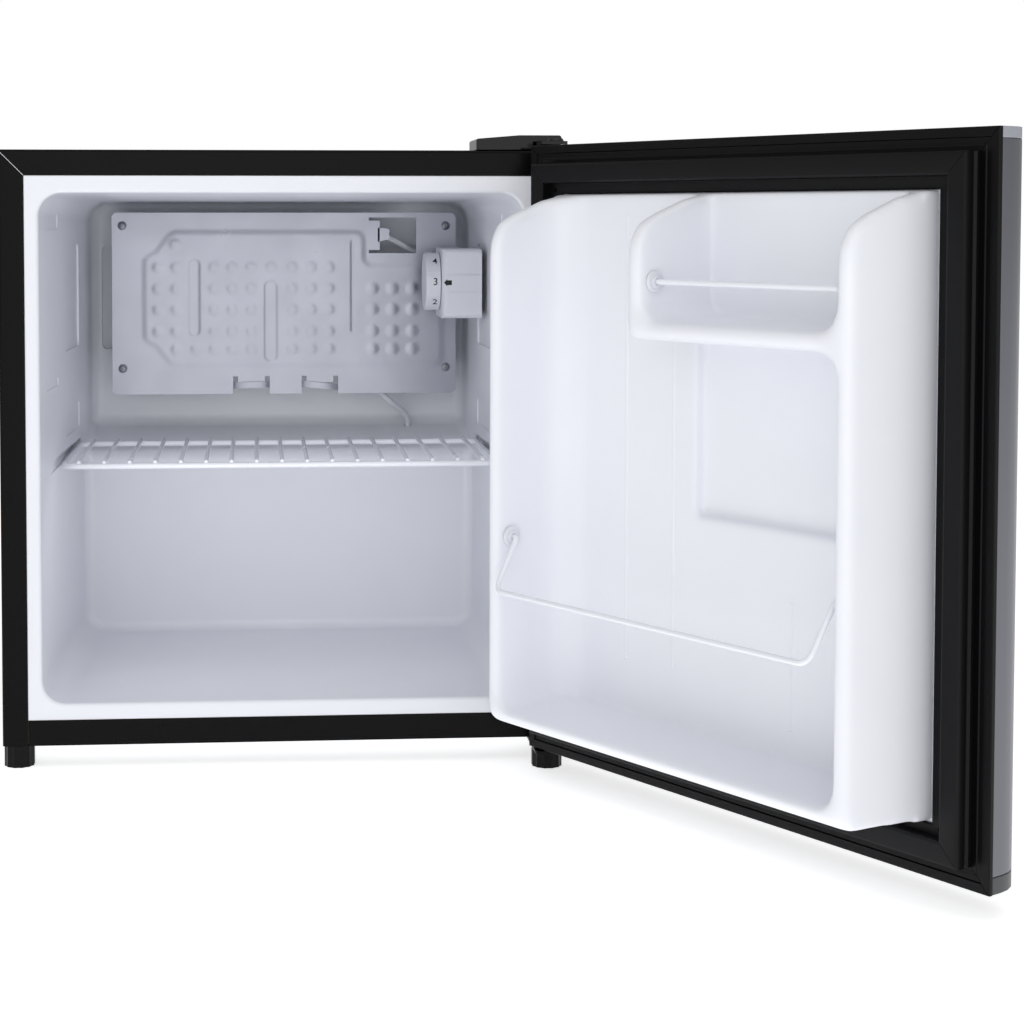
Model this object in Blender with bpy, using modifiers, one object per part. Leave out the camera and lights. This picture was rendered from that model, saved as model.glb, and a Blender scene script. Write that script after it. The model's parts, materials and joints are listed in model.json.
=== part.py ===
"""Compact refrigerator with one door, standing free, as an assembly of its real pieces.

X runs to the right, Y to the back and Z up. Every piece is drawn with the door closed, from the middle
of the cabinet's front plane at floor level, and hangs from an empty on its joint's axis. The door's empty
is then turned to its open rest angle, and the root empty moves the whole object so that its box stands
centred on the origin.
"""

import math

import bmesh
import bpy
from mathutils import Matrix, Vector

MM = 0.001
GAP = 0.3 * MM  # between pieces that touch
SHEET = 0.8 * MM  # cabinet and door steel

# Cabinet
CABINET_WIDTH = 440 * MM
CABINET_DEPTH = 400 * MM
CABINET_HEIGHT = 466 * MM
FOOT_HEIGHT = 17.4 * MM
STRIP_WIDTH = 20 * MM  # steel folded in round the front
FOLD_RADIUS = 1.2 * MM

# Inner liner
LINER_WALL = 2 * MM
SIDE_FLANGE = 11 * MM  # liner seen between the steel strip and the opening
END_FLANGE = 13 * MM
LINER_TAPER = 13 * MM  # how far each side wall draws in by the back
LOWER_DEPTH = CABINET_DEPTH - 117 * MM
UPPER_DEPTH = CABINET_DEPTH - 50 * MM
LEDGE_FRONT = 165 * MM  # ledge over the compressor, above the liner's floor
LEDGE_RISE = 20 * MM
CEILING_FALL = 6 * MM
LINER_RADIUS = 15 * MM

# Compressor compartment
COMPARTMENT_WALL = 30 * MM  # foam in front of the compartment
COMPARTMENT_FRONT_HEIGHT = 155 * MM
COMPARTMENT_SLOPE = 37 * MM
COMPARTMENT_RISE = 20 * MM
BASE_SHEET = 2 * MM

# Door
DOOR_HEIGHT = CABINET_HEIGHT + 1.6 * MM
DOOR_BOTTOM = 18.4 * MM
DOOR_BODY = 40 * MM
DOOR_STANDOFF = 13 * MM  # gasket between the door frame and the cabinet
DOOR_RADIUS = 28 * MM
DOOR_OPEN = math.radians(121.8)
FRAME_SHEET = 3 * MM
FRAME_RING = 36 * MM
RING_SINK = 1.2 * MM  # ring inside its outer ridge
TOP_CAP = 7 * MM
BOTTOM_CAP = 11 * MM
CAP_PLUG = 6 * MM
HINGE_INSET = 10 * MM  # hinge axis from the door's side
HINGE_DEPTH = 16.7 * MM  # hinge axis in front of the frame's face

# Door liner, with depths counted from the frame's face towards the food
DIKE_DEPTH = 80 * MM
DIKE_WIDTH = 12 * MM
BAY_HALF = CABINET_WIDTH / 2 - 58 * MM  # half the width between the two outer dikes
DIKE_DRAFT = 3 * MM
PANEL_DEPTH = 12 * MM
RECESS_SINK = 8 * MM
RECESS_BOTTOM = 206 * MM  # above the door's bottom edge
DOOR_LINER_BOTTOM = 36.2 * MM  # from the door's bottom edge
DOOR_LINER_TOP = 38 * MM  # from the door's top edge
BAY_FLOOR = 17.5 * MM  # above the door liner's lower edge
SHELF_WALL = (10 * MM, 24 * MM)  # across the door, from its middle towards the hinge
SHELF_UNDERSIDE = DOOR_HEIGHT - 137 * MM  # above the door's bottom edge
SHELF_THICKNESS = 13 * MM
ROD_HEIGHT = DOOR_HEIGHT - 98 * MM
BAIL_HEIGHT = 178.6 * MM
ROD_DEPTH = DIKE_DEPTH - 14 * MM
ROD_RADIUS = 1.9 * MM
BAIL_REACH = (22 * MM, -37 * MM)  # crossbar from its pivots, forwards and up
BAIL_ARM_INSET = 8 * MM

# Gasket
GASKET_INSET = 14.5 * MM
GASKET_BULB = 15 * MM
GASKET_WEB = 6 * MM
GASKET_WALL = 2 * MM

# Wire shelf
SHELF_HEIGHT = 226 * MM
SHELF_FRONT = 91 * MM
SHELF_DEPTH = LOWER_DEPTH - 114 * MM
SHELF_HALF = CABINET_WIDTH / 2 - 40 * MM
SHELF_RAIL = 2.5 * MM
SHELF_WIRE = 1.4 * MM
SHELF_PITCH = 20.9 * MM
RUNNER_DEPTH = 7 * MM
RUNNER_HEIGHT = 9.3 * MM

# Evaporator plate
PLATE_FRONT = UPPER_DEPTH - 50 * MM
PLATE_SHEET = 1.6 * MM
PLATE_LEFT, PLATE_RIGHT = 66.4 * MM - CABINET_WIDTH / 2, CABINET_WIDTH / 2 - 55.3 * MM
PLATE_BOTTOM, PLATE_TOP = 267 * MM, FOOT_HEIGHT + CABINET_HEIGHT - 48.4 * MM
SCREW_SIDE, SCREW_END = 9.6 * MM, 12 * MM  # screw centres from the plate's edges
SCREW_HEAD = 4.2 * MM
SCREW_SHANK = 1.7 * MM
POST_RADIUS = 5 * MM
EMBOSS_RISE = 0.8 * MM
DIMPLE_RADIUS = 7 * MM
DIMPLE_PITCH = (17.3 * MM, 19.8 * MM)
STRAP_WIDTH = 34 * MM
STRAP_BOW = 2.5 * MM
TUBE_RADIUS = 2.5 * MM

# Thermostat
DIAL_CENTRE = (CABINET_WIDTH / 2 - 84 * MM, UPPER_DEPTH - 120 * MM, PLATE_TOP - 61.4 * MM)
DIAL_RADIUS = 26 * MM
DIAL_WIDTH = 13.4 * MM
SHAFT_RADIUS = 3 * MM
HOUSING_DEPTH = 64 * MM
HOUSING_LEFT, HOUSING_RIGHT = DIAL_CENTRE[0] + 7 * MM, DIAL_CENTRE[0] + 42.2 * MM
HOUSING_BOTTOM, HOUSING_TOP = DIAL_CENTRE[2] - 32.1 * MM, DIAL_CENTRE[2] + 29.4 * MM
HOUSING_WALL = 2 * MM

# Feet and hinges
FOOT_RADIUS = 12 * MM
FOOT_STEM = 3.8 * MM
PIN_RADIUS = 4 * MM
BUSH_BORE = 4.4 * MM
BUSH_RADIUS = 6.5 * MM
HINGE_PLATE = 2.5 * MM
HINGE_RISE = 3.2 * MM
COVER_HEIGHT = 12 * MM

# Refrigeration
CONDENSER_TUBE = 2.4 * MM
CONDENSER_LOW = 205 * MM  # the tube runs across no lower than this
CONDENSER_PITCH = 33 * MM
CONDENSER_HALF = CABINET_WIDTH / 2 - 55 * MM
CONDENSER_STANDOFF = 12 * MM
CONDENSER_WIRES = 10
COMPRESSOR_SIZE = (140 * MM, 92 * MM, 128 * MM)
COMPRESSOR_CENTRE = (40 * MM, CABINET_DEPTH - 35 * MM)
GROMMET_HEIGHT = 12 * MM

# Worked out from the above
TOP = FOOT_HEIGHT + CABINET_HEIGHT
HALF = CABINET_WIDTH / 2
OPENING_HALF = HALF - STRIP_WIDTH - SIDE_FLANGE
OPENING_BOTTOM = FOOT_HEIGHT + STRIP_WIDTH + END_FLANGE
OPENING_TOP = TOP - STRIP_WIDTH - END_FLANGE
INSIDE_HALF = HALF - SHEET - GAP
DOOR_TOP = DOOR_BOTTOM + DOOR_HEIGHT
FRAME_FACE = -DOOR_STANDOFF
DOOR_FRONT = FRAME_FACE - DOOR_BODY
PIVOT = Vector((HALF - HINGE_INSET, FRAME_FACE - HINGE_DEPTH, 0))
LINER_LOW = DOOR_BOTTOM + DOOR_LINER_BOTTOM
LINER_HIGH = DOOR_TOP - DOOR_LINER_TOP
SEAT = FRAME_FACE - RING_SINK + GAP  # the door liner's flange lies on the frame here
RECESS_LOW = DOOR_BOTTOM + RECESS_BOTTOM
BAIL_PIVOT = Vector((0, FRAME_FACE + ROD_DEPTH, DOOR_BOTTOM + BAIL_HEIGHT))
ROD_Z = DOOR_BOTTOM + ROD_HEIGHT
COMPARTMENT_FRONT = LOWER_DEPTH + COMPARTMENT_WALL
PLATE_BACK = PLATE_FRONT + PLATE_SHEET

FINISHES = {
    "black_steel": ((0.012, 0.012, 0.013), 0.35, 0.2),
    "silver_steel": ((0.15, 0.15, 0.17), 0.4, 0.7),
    "galvanised": ((0.45, 0.46, 0.47), 0.45, 0.9),
    "white_plastic": ((0.82, 0.83, 0.88), 0.4, 0.0),
    "black_plastic": ((0.015, 0.015, 0.016), 0.45, 0.0),
    "grey_plastic": ((0.08, 0.08, 0.09), 0.5, 0.0),
    "white_wire": ((0.85, 0.86, 0.9), 0.35, 0.0),
    "black_rubber": ((0.012, 0.012, 0.012), 0.7, 0.0),
    "foam": ((0.72, 0.62, 0.38), 0.9, 0.0),
    "aluminium": ((0.5, 0.51, 0.55), 0.45, 0.9),
    "copper": ((0.6, 0.28, 0.16), 0.35, 0.9),
    "zinc": ((0.55, 0.56, 0.58), 0.3, 0.9),
    "magnet": ((0.06, 0.06, 0.06), 0.8, 0.0),
}

frames = {}


# ---------------------------------------------------------------- scene and objects


def clear_scene():
    for obj in list(bpy.data.objects):
        bpy.data.objects.remove(obj)


def new_collection(name):
    collection = bpy.data.collections.new(name)
    bpy.context.scene.collection.children.link(collection)
    return collection


def finish(name):
    """The material of this name, made the first time it is asked for."""
    if name in bpy.data.materials:
        return bpy.data.materials[name]
    colour, roughness, metallic = FINISHES[name]
    made = bpy.data.materials.new(name)
    made.use_nodes = True
    shader = made.node_tree.nodes["Principled BSDF"]
    shader.inputs["Base Color"].default_value = (*colour, 1)
    shader.inputs["Roughness"].default_value = roughness
    shader.inputs["Metallic"].default_value = metallic
    made.diffuse_color = (*colour, 1)
    return made


def add_frame(name, position, parent=None):
    """An empty on a joint's axis. The position is the one it has with the door closed."""
    empty = bpy.data.objects.new(name, None)
    empty.empty_display_size = 0.05
    parts.objects.link(empty)
    empty.location = position
    if parent:
        empty.parent = frames[parent][0]
        empty.location = position - frames[parent][1]
    frames[name] = (empty, Vector(position))
    return empty


def attach(obj, frame):
    empty, position = frames[frame]
    obj.parent = empty
    obj.matrix_parent_inverse = Matrix.Translation(-position)


def mesh_of(name, bm):
    bmesh.ops.recalc_face_normals(bm, faces=bm.faces)
    mesh = bpy.data.meshes.new(name)
    bm.to_mesh(mesh)
    bm.free()
    return mesh


def add_part(name, bm, material, frame="fridge", smooth=None):
    """A named piece of the object. Round ones give the angle in degrees below which edges are smooth."""
    obj = bpy.data.objects.new(name, mesh_of(name, bm))
    parts.objects.link(obj)
    obj.data.materials.append(finish(material))
    if smooth:
        obj.data.shade_smooth()
        obj.data.set_sharp_from_angle(angle=math.radians(smooth))
    attach(obj, frame)
    return obj


def tool(target, operation, bm):
    """Cuts this shape from the target, or joins it to it, through a hidden helper object."""
    name = f"{target.name}_{operation.lower()}_{len(target.modifiers) + 1}"
    helper = bpy.data.objects.new(name, mesh_of(name, bm))
    cutters.objects.link(helper)
    helper.hide_render = True
    helper.display_type = "WIRE"
    helper.parent = target.parent
    helper.matrix_parent_inverse = target.matrix_parent_inverse
    modifier = target.modifiers.new(name, "BOOLEAN")
    modifier.operation = operation
    modifier.solver = "EXACT"
    modifier.object = helper


def cut(target, *shapes):
    for shape in shapes:
        tool(target, "DIFFERENCE", shape)


def join(target, *shapes):
    for shape in shapes:
        tool(target, "UNION", shape)


# ---------------------------------------------------------------- shapes


def box(low, high):
    """A block between two opposite corners."""
    low, high = Vector(low), Vector(high)
    bm = bmesh.new()
    bmesh.ops.create_cube(bm, size=1)
    bmesh.ops.scale(bm, verts=bm.verts, vec=high - low)
    bmesh.ops.translate(bm, verts=bm.verts, vec=(low + high) / 2)
    return bm


def together(*shapes):
    """Several separate shapes in one bmesh."""
    whole = shapes[0]
    for shape in shapes[1:]:
        mesh = bpy.data.meshes.new("joined")
        shape.to_mesh(mesh)
        shape.free()
        whole.from_mesh(mesh)
        bpy.data.meshes.remove(mesh)
    return whole


def placed(point, axis, along):
    """A flat point at this distance along the axis that its plane crosses."""
    a, b = point
    return {"X": (along, a, b), "Y": (a, along, b), "Z": (a, b, along)}[axis]


def prism(outline, axis, start, end):
    """A flat outline drawn across an axis and extruded along it."""
    bm = bmesh.new()
    face = bm.faces.new([bm.verts.new(placed(p, axis, start)) for p in outline])
    grown = bmesh.ops.extrude_face_region(bm, geom=[face])["geom"]
    moved = [item for item in grown if isinstance(item, bmesh.types.BMVert)]
    bmesh.ops.translate(bm, verts=moved, vec=placed((0, 0), axis, end - start))
    return bm


def cylinder(centre, radius, axis, start, end, segments=16, end_radius=None):
    """A round bar along an axis. The centre is given across it."""
    bm = bmesh.new()
    bmesh.ops.create_cone(
        bm,
        cap_ends=True,
        segments=segments,
        radius1=radius,
        radius2=radius if end_radius is None else end_radius,
        depth=end - start,
    )
    turn = {"X": Matrix.Rotation(math.pi / 2, 3, "Y"), "Y": Matrix.Rotation(-math.pi / 2, 3, "X")}
    if axis in turn:
        bmesh.ops.rotate(bm, verts=bm.verts, matrix=turn[axis])
    bmesh.ops.translate(bm, verts=bm.verts, vec=placed(centre, axis, (start + end) / 2))
    return bm


def bevelled(bm, radius, segments=2, chosen=None):
    """Rounds the chosen edges, or all of them. The choice is a function of an edge's two ends."""
    edges = [e for e in bm.edges if chosen is None or chosen(e.verts[0].co, e.verts[1].co)]
    bmesh.ops.bevel(
        bm,
        geom=edges,
        offset=radius,
        segments=segments,
        profile=0.5,
        affect="EDGES",
        clamp_overlap=True,
        material=-1,
    )
    return bm


def along_z(a, b):
    return abs(a.x - b.x) + abs(a.y - b.y) < GAP


def corner_arc(before, here, after, radius, steps):
    """Points that round one corner of a route."""
    back, on = (before - here).normalized(), (after - here).normalized()
    half = back.angle(on) / 2
    reach = radius / math.tan(half)
    centre = here + (back + on).normalized() * radius / math.sin(half)
    first = (here + back * reach - centre).normalized()
    last = (here + on * reach - centre).normalized()
    return [centre + first.slerp(last, i / steps) * radius for i in range(steps + 1)]


def rounded(corners, steps=4):
    """A closed flat outline from (x, y, radius) corners."""
    points = []
    flat = [Vector((x, y, 0)) for x, y, _ in corners]
    for i, (x, y, radius) in enumerate(corners):
        if radius:
            after = flat[(i + 1) % len(flat)]
            arc = corner_arc(flat[i - 1], flat[i], after, radius, steps)
            points += [(p.x, p.y) for p in arc]
        else:
            points.append((x, y))
    return points


def rounded_route(points, radius, steps=4):
    """An open route in space with its corners rounded."""
    points = [Vector(p) for p in points]
    route = [points[0]]
    for before, here, after in zip(points, points[1:], points[2:]):
        route += corner_arc(before, here, after, radius, steps)
    return [*route, points[-1]]


def smooth_route(points, steps=4):
    """A smooth curve through a few points."""
    points = [Vector(p) for p in points]
    ends = [2 * points[0] - points[1], *points, 2 * points[-1] - points[-2]]
    route = []
    for a, b, c, d in zip(ends, ends[1:], ends[2:], ends[3:]):
        for i in range(steps):
            t = i / steps
            route.append(
                b
                + (c - a) * t / 2
                + (2 * a - 5 * b + 4 * c - d) * t**2 / 2
                + (3 * b - a - 3 * c + d) * t**3 / 2
            )
    return [*route, points[-1]]


def side_normals(points, closed):
    """The outward normal of each side of an anticlockwise outline."""
    count = len(points) if closed else len(points) - 1
    sides = [Vector(points[(i + 1) % len(points)]) - Vector(points[i]) for i in range(count)]
    return [Vector((s.y, -s.x)).normalized() for s in sides]


def offset(points, distance, closed=True):
    """The outline with each side moved outwards, or to the right of an open path."""
    normals = side_normals(points, closed)
    moved = []
    for i, point in enumerate(points):
        before = normals[i - 1] if closed or i else normals[0]
        after = normals[i] if closed or i < len(normals) else normals[-1]
        shift = (before + after) * distance / (1 + before.dot(after))
        moved.append((point[0] + shift.x, point[1] + shift.y))
    return moved


def ribbon(path, thickness):
    """The outline of a folded sheet whose outer face follows the path, its thickness to the left."""
    return [*path, *reversed(offset(path, -thickness, closed=False))]


def picture_frame(half_width, low, high, section):
    """A ring round the door with mitred corners. Each point of the section is (inset, depth)."""
    bm = bmesh.new()
    loops = []
    for inset, depth in section:
        x, y = half_width - inset, FRAME_FACE + depth
        corners = ((-x, low + inset), (x, low + inset), (x, high - inset), (-x, high - inset))
        loops.append([bm.verts.new((a, y, b)) for a, b in corners])
    for first, second in zip(loops, [*loops[1:], loops[0]]):
        for i in range(4):
            bm.faces.new((first[i - 1], first[i], second[i], second[i - 1]))
    return bm


def add_tube(name, route, radius, material, frame="fridge", resolution=2, cyclic=False):
    """A round tube or wire along a route."""
    curve = bpy.data.curves.new(name, "CURVE")
    curve.dimensions = "3D"
    curve.bevel_depth = radius
    curve.bevel_resolution = resolution
    curve.use_fill_caps = True
    spline = curve.splines.new("POLY")
    spline.points.add(len(route) - 1)
    for point, place in zip(spline.points, route):
        point.co = (*place, 1)
    spline.use_cyclic_u = cyclic
    obj = bpy.data.objects.new(name, curve)
    parts.objects.link(obj)
    curve.materials.append(finish(material))
    attach(obj, frame)
    return obj


def as_mesh(obj):
    """The same tube as a closed mesh, so that other shapes can be joined to it."""
    mesh = bpy.data.meshes.new_from_object(obj.evaluated_get(bpy.context.evaluated_depsgraph_get()))
    bm = bmesh.new()
    bm.from_mesh(mesh)
    bpy.data.meshes.remove(mesh)
    bmesh.ops.remove_doubles(bm, verts=bm.verts, dist=0.001 * MM)
    name, material = obj.name, obj.data.materials[0]
    frame = next(key for key, value in frames.items() if value[0] == obj.parent)
    bpy.data.objects.remove(obj)
    return add_part(name, bm, material.name, frame)


def turned(name, profile, centre, material, frame="fridge", steps=16):
    """A shape turned about a vertical axis from its (radius, height) profile, its outer side going down."""
    bm = bmesh.new()
    verts = [bm.verts.new((radius, 0, height)) for radius, height in profile]
    for pair in zip(verts, verts[1:]):
        bm.edges.new(pair)
    mesh = bpy.data.meshes.new(name)
    bm.to_mesh(mesh)
    bm.free()
    obj = bpy.data.objects.new(name, mesh)
    parts.objects.link(obj)
    mesh.materials.append(finish(material))
    attach(obj, frame)
    obj.location = (centre[0], centre[1], 0)
    screw = obj.modifiers.new("turn", "SCREW")
    screw.axis = "Z"
    screw.steps = screw.render_steps = steps
    screw.use_merge_vertices = True
    screw.merge_threshold = 0.00001
    return obj


# ---------------------------------------------------------------- cabinet


def liner_half(depth):
    """Half the width between the liner's side walls at this depth."""
    return OPENING_HALF - LINER_TAPER * depth / UPPER_DEPTH


def tub(grow, front):
    """The food compartment's space, its walls moved outwards by a distance."""
    ledge = OPENING_BOTTOM + LEDGE_FRONT
    profile = [
        (0, OPENING_BOTTOM),
        (LOWER_DEPTH, OPENING_BOTTOM),
        (LOWER_DEPTH, ledge),
        (UPPER_DEPTH, ledge + LEDGE_RISE),
        (UPPER_DEPTH, OPENING_TOP - CEILING_FALL),
        (0, OPENING_TOP),
    ]
    profile = offset(profile, grow)
    profile[0] = (front, profile[0][1])
    profile[-1] = (front, profile[-1][1])
    bm = prism(profile, "X", -1, 1)
    for vert in bm.verts:
        vert.co.x = math.copysign(liner_half(vert.co.y) + grow, vert.co.x)
    behind = max(front, 0) + MM
    return bevelled(bm, LINER_RADIUS + grow, 3, lambda a, b: a.y > behind or b.y > behind)


def runners(grow, inner):
    """The two grooves in the side walls that carry the wire shelf."""
    low = SHELF_HEIGHT - SHELF_RAIL - GAP
    back = SHELF_FRONT + SHELF_DEPTH + SHELF_RAIL + GAP
    bars = []
    for side in (-1, 1):
        reach = side * (SHELF_HALF + RUNNER_DEPTH + grow)
        near = side * (SHELF_HALF - inner)
        bars.append(
            box(
                (min(near, reach), SHELF_FRONT - 50 * MM - grow, low - grow),
                (max(near, reach), back + grow, low + RUNNER_HEIGHT + grow),
            )
        )
    return together(*bars)


def suction_hole():
    """The way of the suction tube from the food compartment down to the compressor."""
    return cylinder(SUCTION_DROP, TUBE_RADIUS + 3 * GAP, "Z", 170 * MM, 245 * MM, 12)


def top_screw_holes(radius, low, high):
    return together(*[cylinder(place, radius, "Z", low, high, 12) for place in TOP_SCREWS])


def compartment_path():
    """The compressor compartment's ceiling and front wall, from the back forwards and down."""
    shoulder = FOOT_HEIGHT + COMPARTMENT_FRONT_HEIGHT
    top = shoulder + COMPARTMENT_RISE
    slope_end = COMPARTMENT_FRONT + COMPARTMENT_SLOPE
    return [
        (CABINET_DEPTH - SHEET - GAP, top),
        (slope_end, top),
        (COMPARTMENT_FRONT, shoulder),
        (COMPARTMENT_FRONT, FOOT_HEIGHT + BASE_SHEET + GAP),
    ]


def build_casing():
    corners = ((HALF, FOOT_HEIGHT, 0), (HALF, TOP, 0), (-HALF, TOP, 0), (-HALF, FOOT_HEIGHT, 0))
    outside = [(p.x, p.y) for p in rounded_route(corners, FOLD_RADIUS, 2)]
    wrapper = add_part("outer_wrapper", prism(ribbon(outside, SHEET), "Y", 0, CABINET_DEPTH), "black_steel")
    lip = HALF - STRIP_WIDTH
    strip = [
        *outside,
        (-lip, FOOT_HEIGHT),
        (-lip, TOP - STRIP_WIDTH),
        (lip, TOP - STRIP_WIDTH),
        (lip, FOOT_HEIGHT),
    ]
    join(wrapper, prism(offset(strip, -SHEET / 2), "Y", 0, SHEET))
    cut(wrapper, top_screw_holes(SCREW_SHANK * 2, TOP - 3 * MM, TOP + 3 * MM))

    rail = [(0, FOOT_HEIGHT + STRIP_WIDTH), (0, FOOT_HEIGHT), (STRIP_WIDTH + 2 * MM, FOOT_HEIGHT)]
    bottom_rail = add_part(
        "bottom_rail", prism(ribbon(rail, SHEET), "X", GAP - lip, lip - GAP), "black_steel"
    )
    wing_back = STRIP_WIDTH + 2 * MM
    wings = [
        box((-INSIDE_HALF, SHEET + GAP, FOOT_HEIGHT), (MM - lip, wing_back, FOOT_HEIGHT + SHEET)),
        box((lip - MM, SHEET + GAP, FOOT_HEIGHT), (INSIDE_HALF, wing_back, FOOT_HEIGHT + SHEET)),
    ]
    join(bottom_rail, together(*wings))
    cut(bottom_rail, cylinder(LEFT_FOOT, FOOT_STEM + 2 * GAP, "Z", 0, 2 * FOOT_HEIGHT, 12))

    floor = box(
        (-INSIDE_HALF, wing_back + GAP, FOOT_HEIGHT),
        (INSIDE_HALF, COMPARTMENT_FRONT - GAP, FOOT_HEIGHT + SHEET),
    )
    add_part("bottom_plate", floor, "galvanised")

    path = compartment_path()
    shell = add_part(
        "compartment_shell", prism(ribbon(path, -SHEET), "X", -INSIDE_HALF, INSIDE_HALF), "galvanised"
    )
    cut(shell, suction_hole())

    panel = box(
        (-INSIDE_HALF, CABINET_DEPTH - SHEET, path[0][1] + SHEET + GAP),
        (INSIDE_HALF, CABINET_DEPTH, TOP - SHEET - GAP),
    )
    add_part("back_panel", panel, "galvanised")


def build_liner_and_foam():
    liner = add_part("cabinet_liner", tub(LINER_WALL, SHEET), "white_plastic", smooth=40)
    lip = HALF - STRIP_WIDTH - GAP
    low, high = FOOT_HEIGHT + STRIP_WIDTH + GAP, TOP - STRIP_WIDTH - GAP
    join(
        liner,
        box((-lip, SHEET / 2, low), (lip, SHEET / 2 + LINER_WALL, high)),
        runners(LINER_WALL, -LINER_WALL),
    )
    cut(liner, tub(0, -STRIP_WIDTH), runners(0, STRIP_WIDTH), suction_hole())

    front = SHEET / 2 + LINER_WALL + GAP
    back = CABINET_DEPTH - SHEET - GAP
    block = box(
        (-INSIDE_HALF, front, FOOT_HEIGHT + SHEET + GAP),
        (INSIDE_HALF, back, TOP - SHEET - GAP),
    )
    foam = add_part("cabinet_foam", block, "foam")
    path = offset(compartment_path(), SHEET + GAP, closed=False)
    space = [
        (CABINET_DEPTH + STRIP_WIDTH, path[0][1]),
        *path[1:-1],
        (path[-1][0], 0),
        (CABINET_DEPTH + STRIP_WIDTH, 0),
    ]
    cut(
        foam,
        tub(LINER_WALL + GAP, 0),
        runners(LINER_WALL + GAP, 0),
        prism(space, "X", -HALF, HALF),
        suction_hole(),
        top_screw_holes(SCREW_SHANK * 2, TOP - 15 * MM, TOP),
        cylinder(LEFT_FOOT, FOOT_STEM + 2 * GAP, "Z", 0, 34 * MM, 12),
    )


def foot(name, centre, frame, body_height, stem_top, ribs=24):
    """A levelling foot: a ribbed disc on a stem that screws into the cabinet or the hinge bracket."""
    outline = []
    for i in range(ribs):
        turn = 2 * math.pi * i / ribs
        radius = FOOT_RADIUS if i % 2 else FOOT_RADIUS - 0.8 * MM
        outline.append((centre[0] + radius * math.cos(turn), centre[1] + radius * math.sin(turn)))
    made = add_part(name, prism(outline, "Z", 0, body_height), "black_plastic", frame)
    if stem_top > body_height:
        join(made, cylinder(centre, FOOT_STEM, "Z", body_height - MM, stem_top, 12))


def build_feet():
    foot("front_foot_left", LEFT_FOOT, "foot_left_axis", FOOT_HEIGHT - GAP, 30 * MM)
    foot("front_foot_right", RIGHT_FOOT, "foot_right_axis", 13.2 * MM, DOOR_BOTTOM - 2 * GAP)
    for side, name in ((-1, "rear_foot_left"), (1, "rear_foot_right")):
        centre = (side * (HALF - 30 * MM), CABINET_DEPTH - 20 * MM)
        profile = [(0, FOOT_HEIGHT - GAP), (FOOT_RADIUS - MM, FOOT_HEIGHT - GAP), (FOOT_RADIUS, 0), (0, 0)]
        turned(name, profile, centre, "black_plastic")


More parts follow.
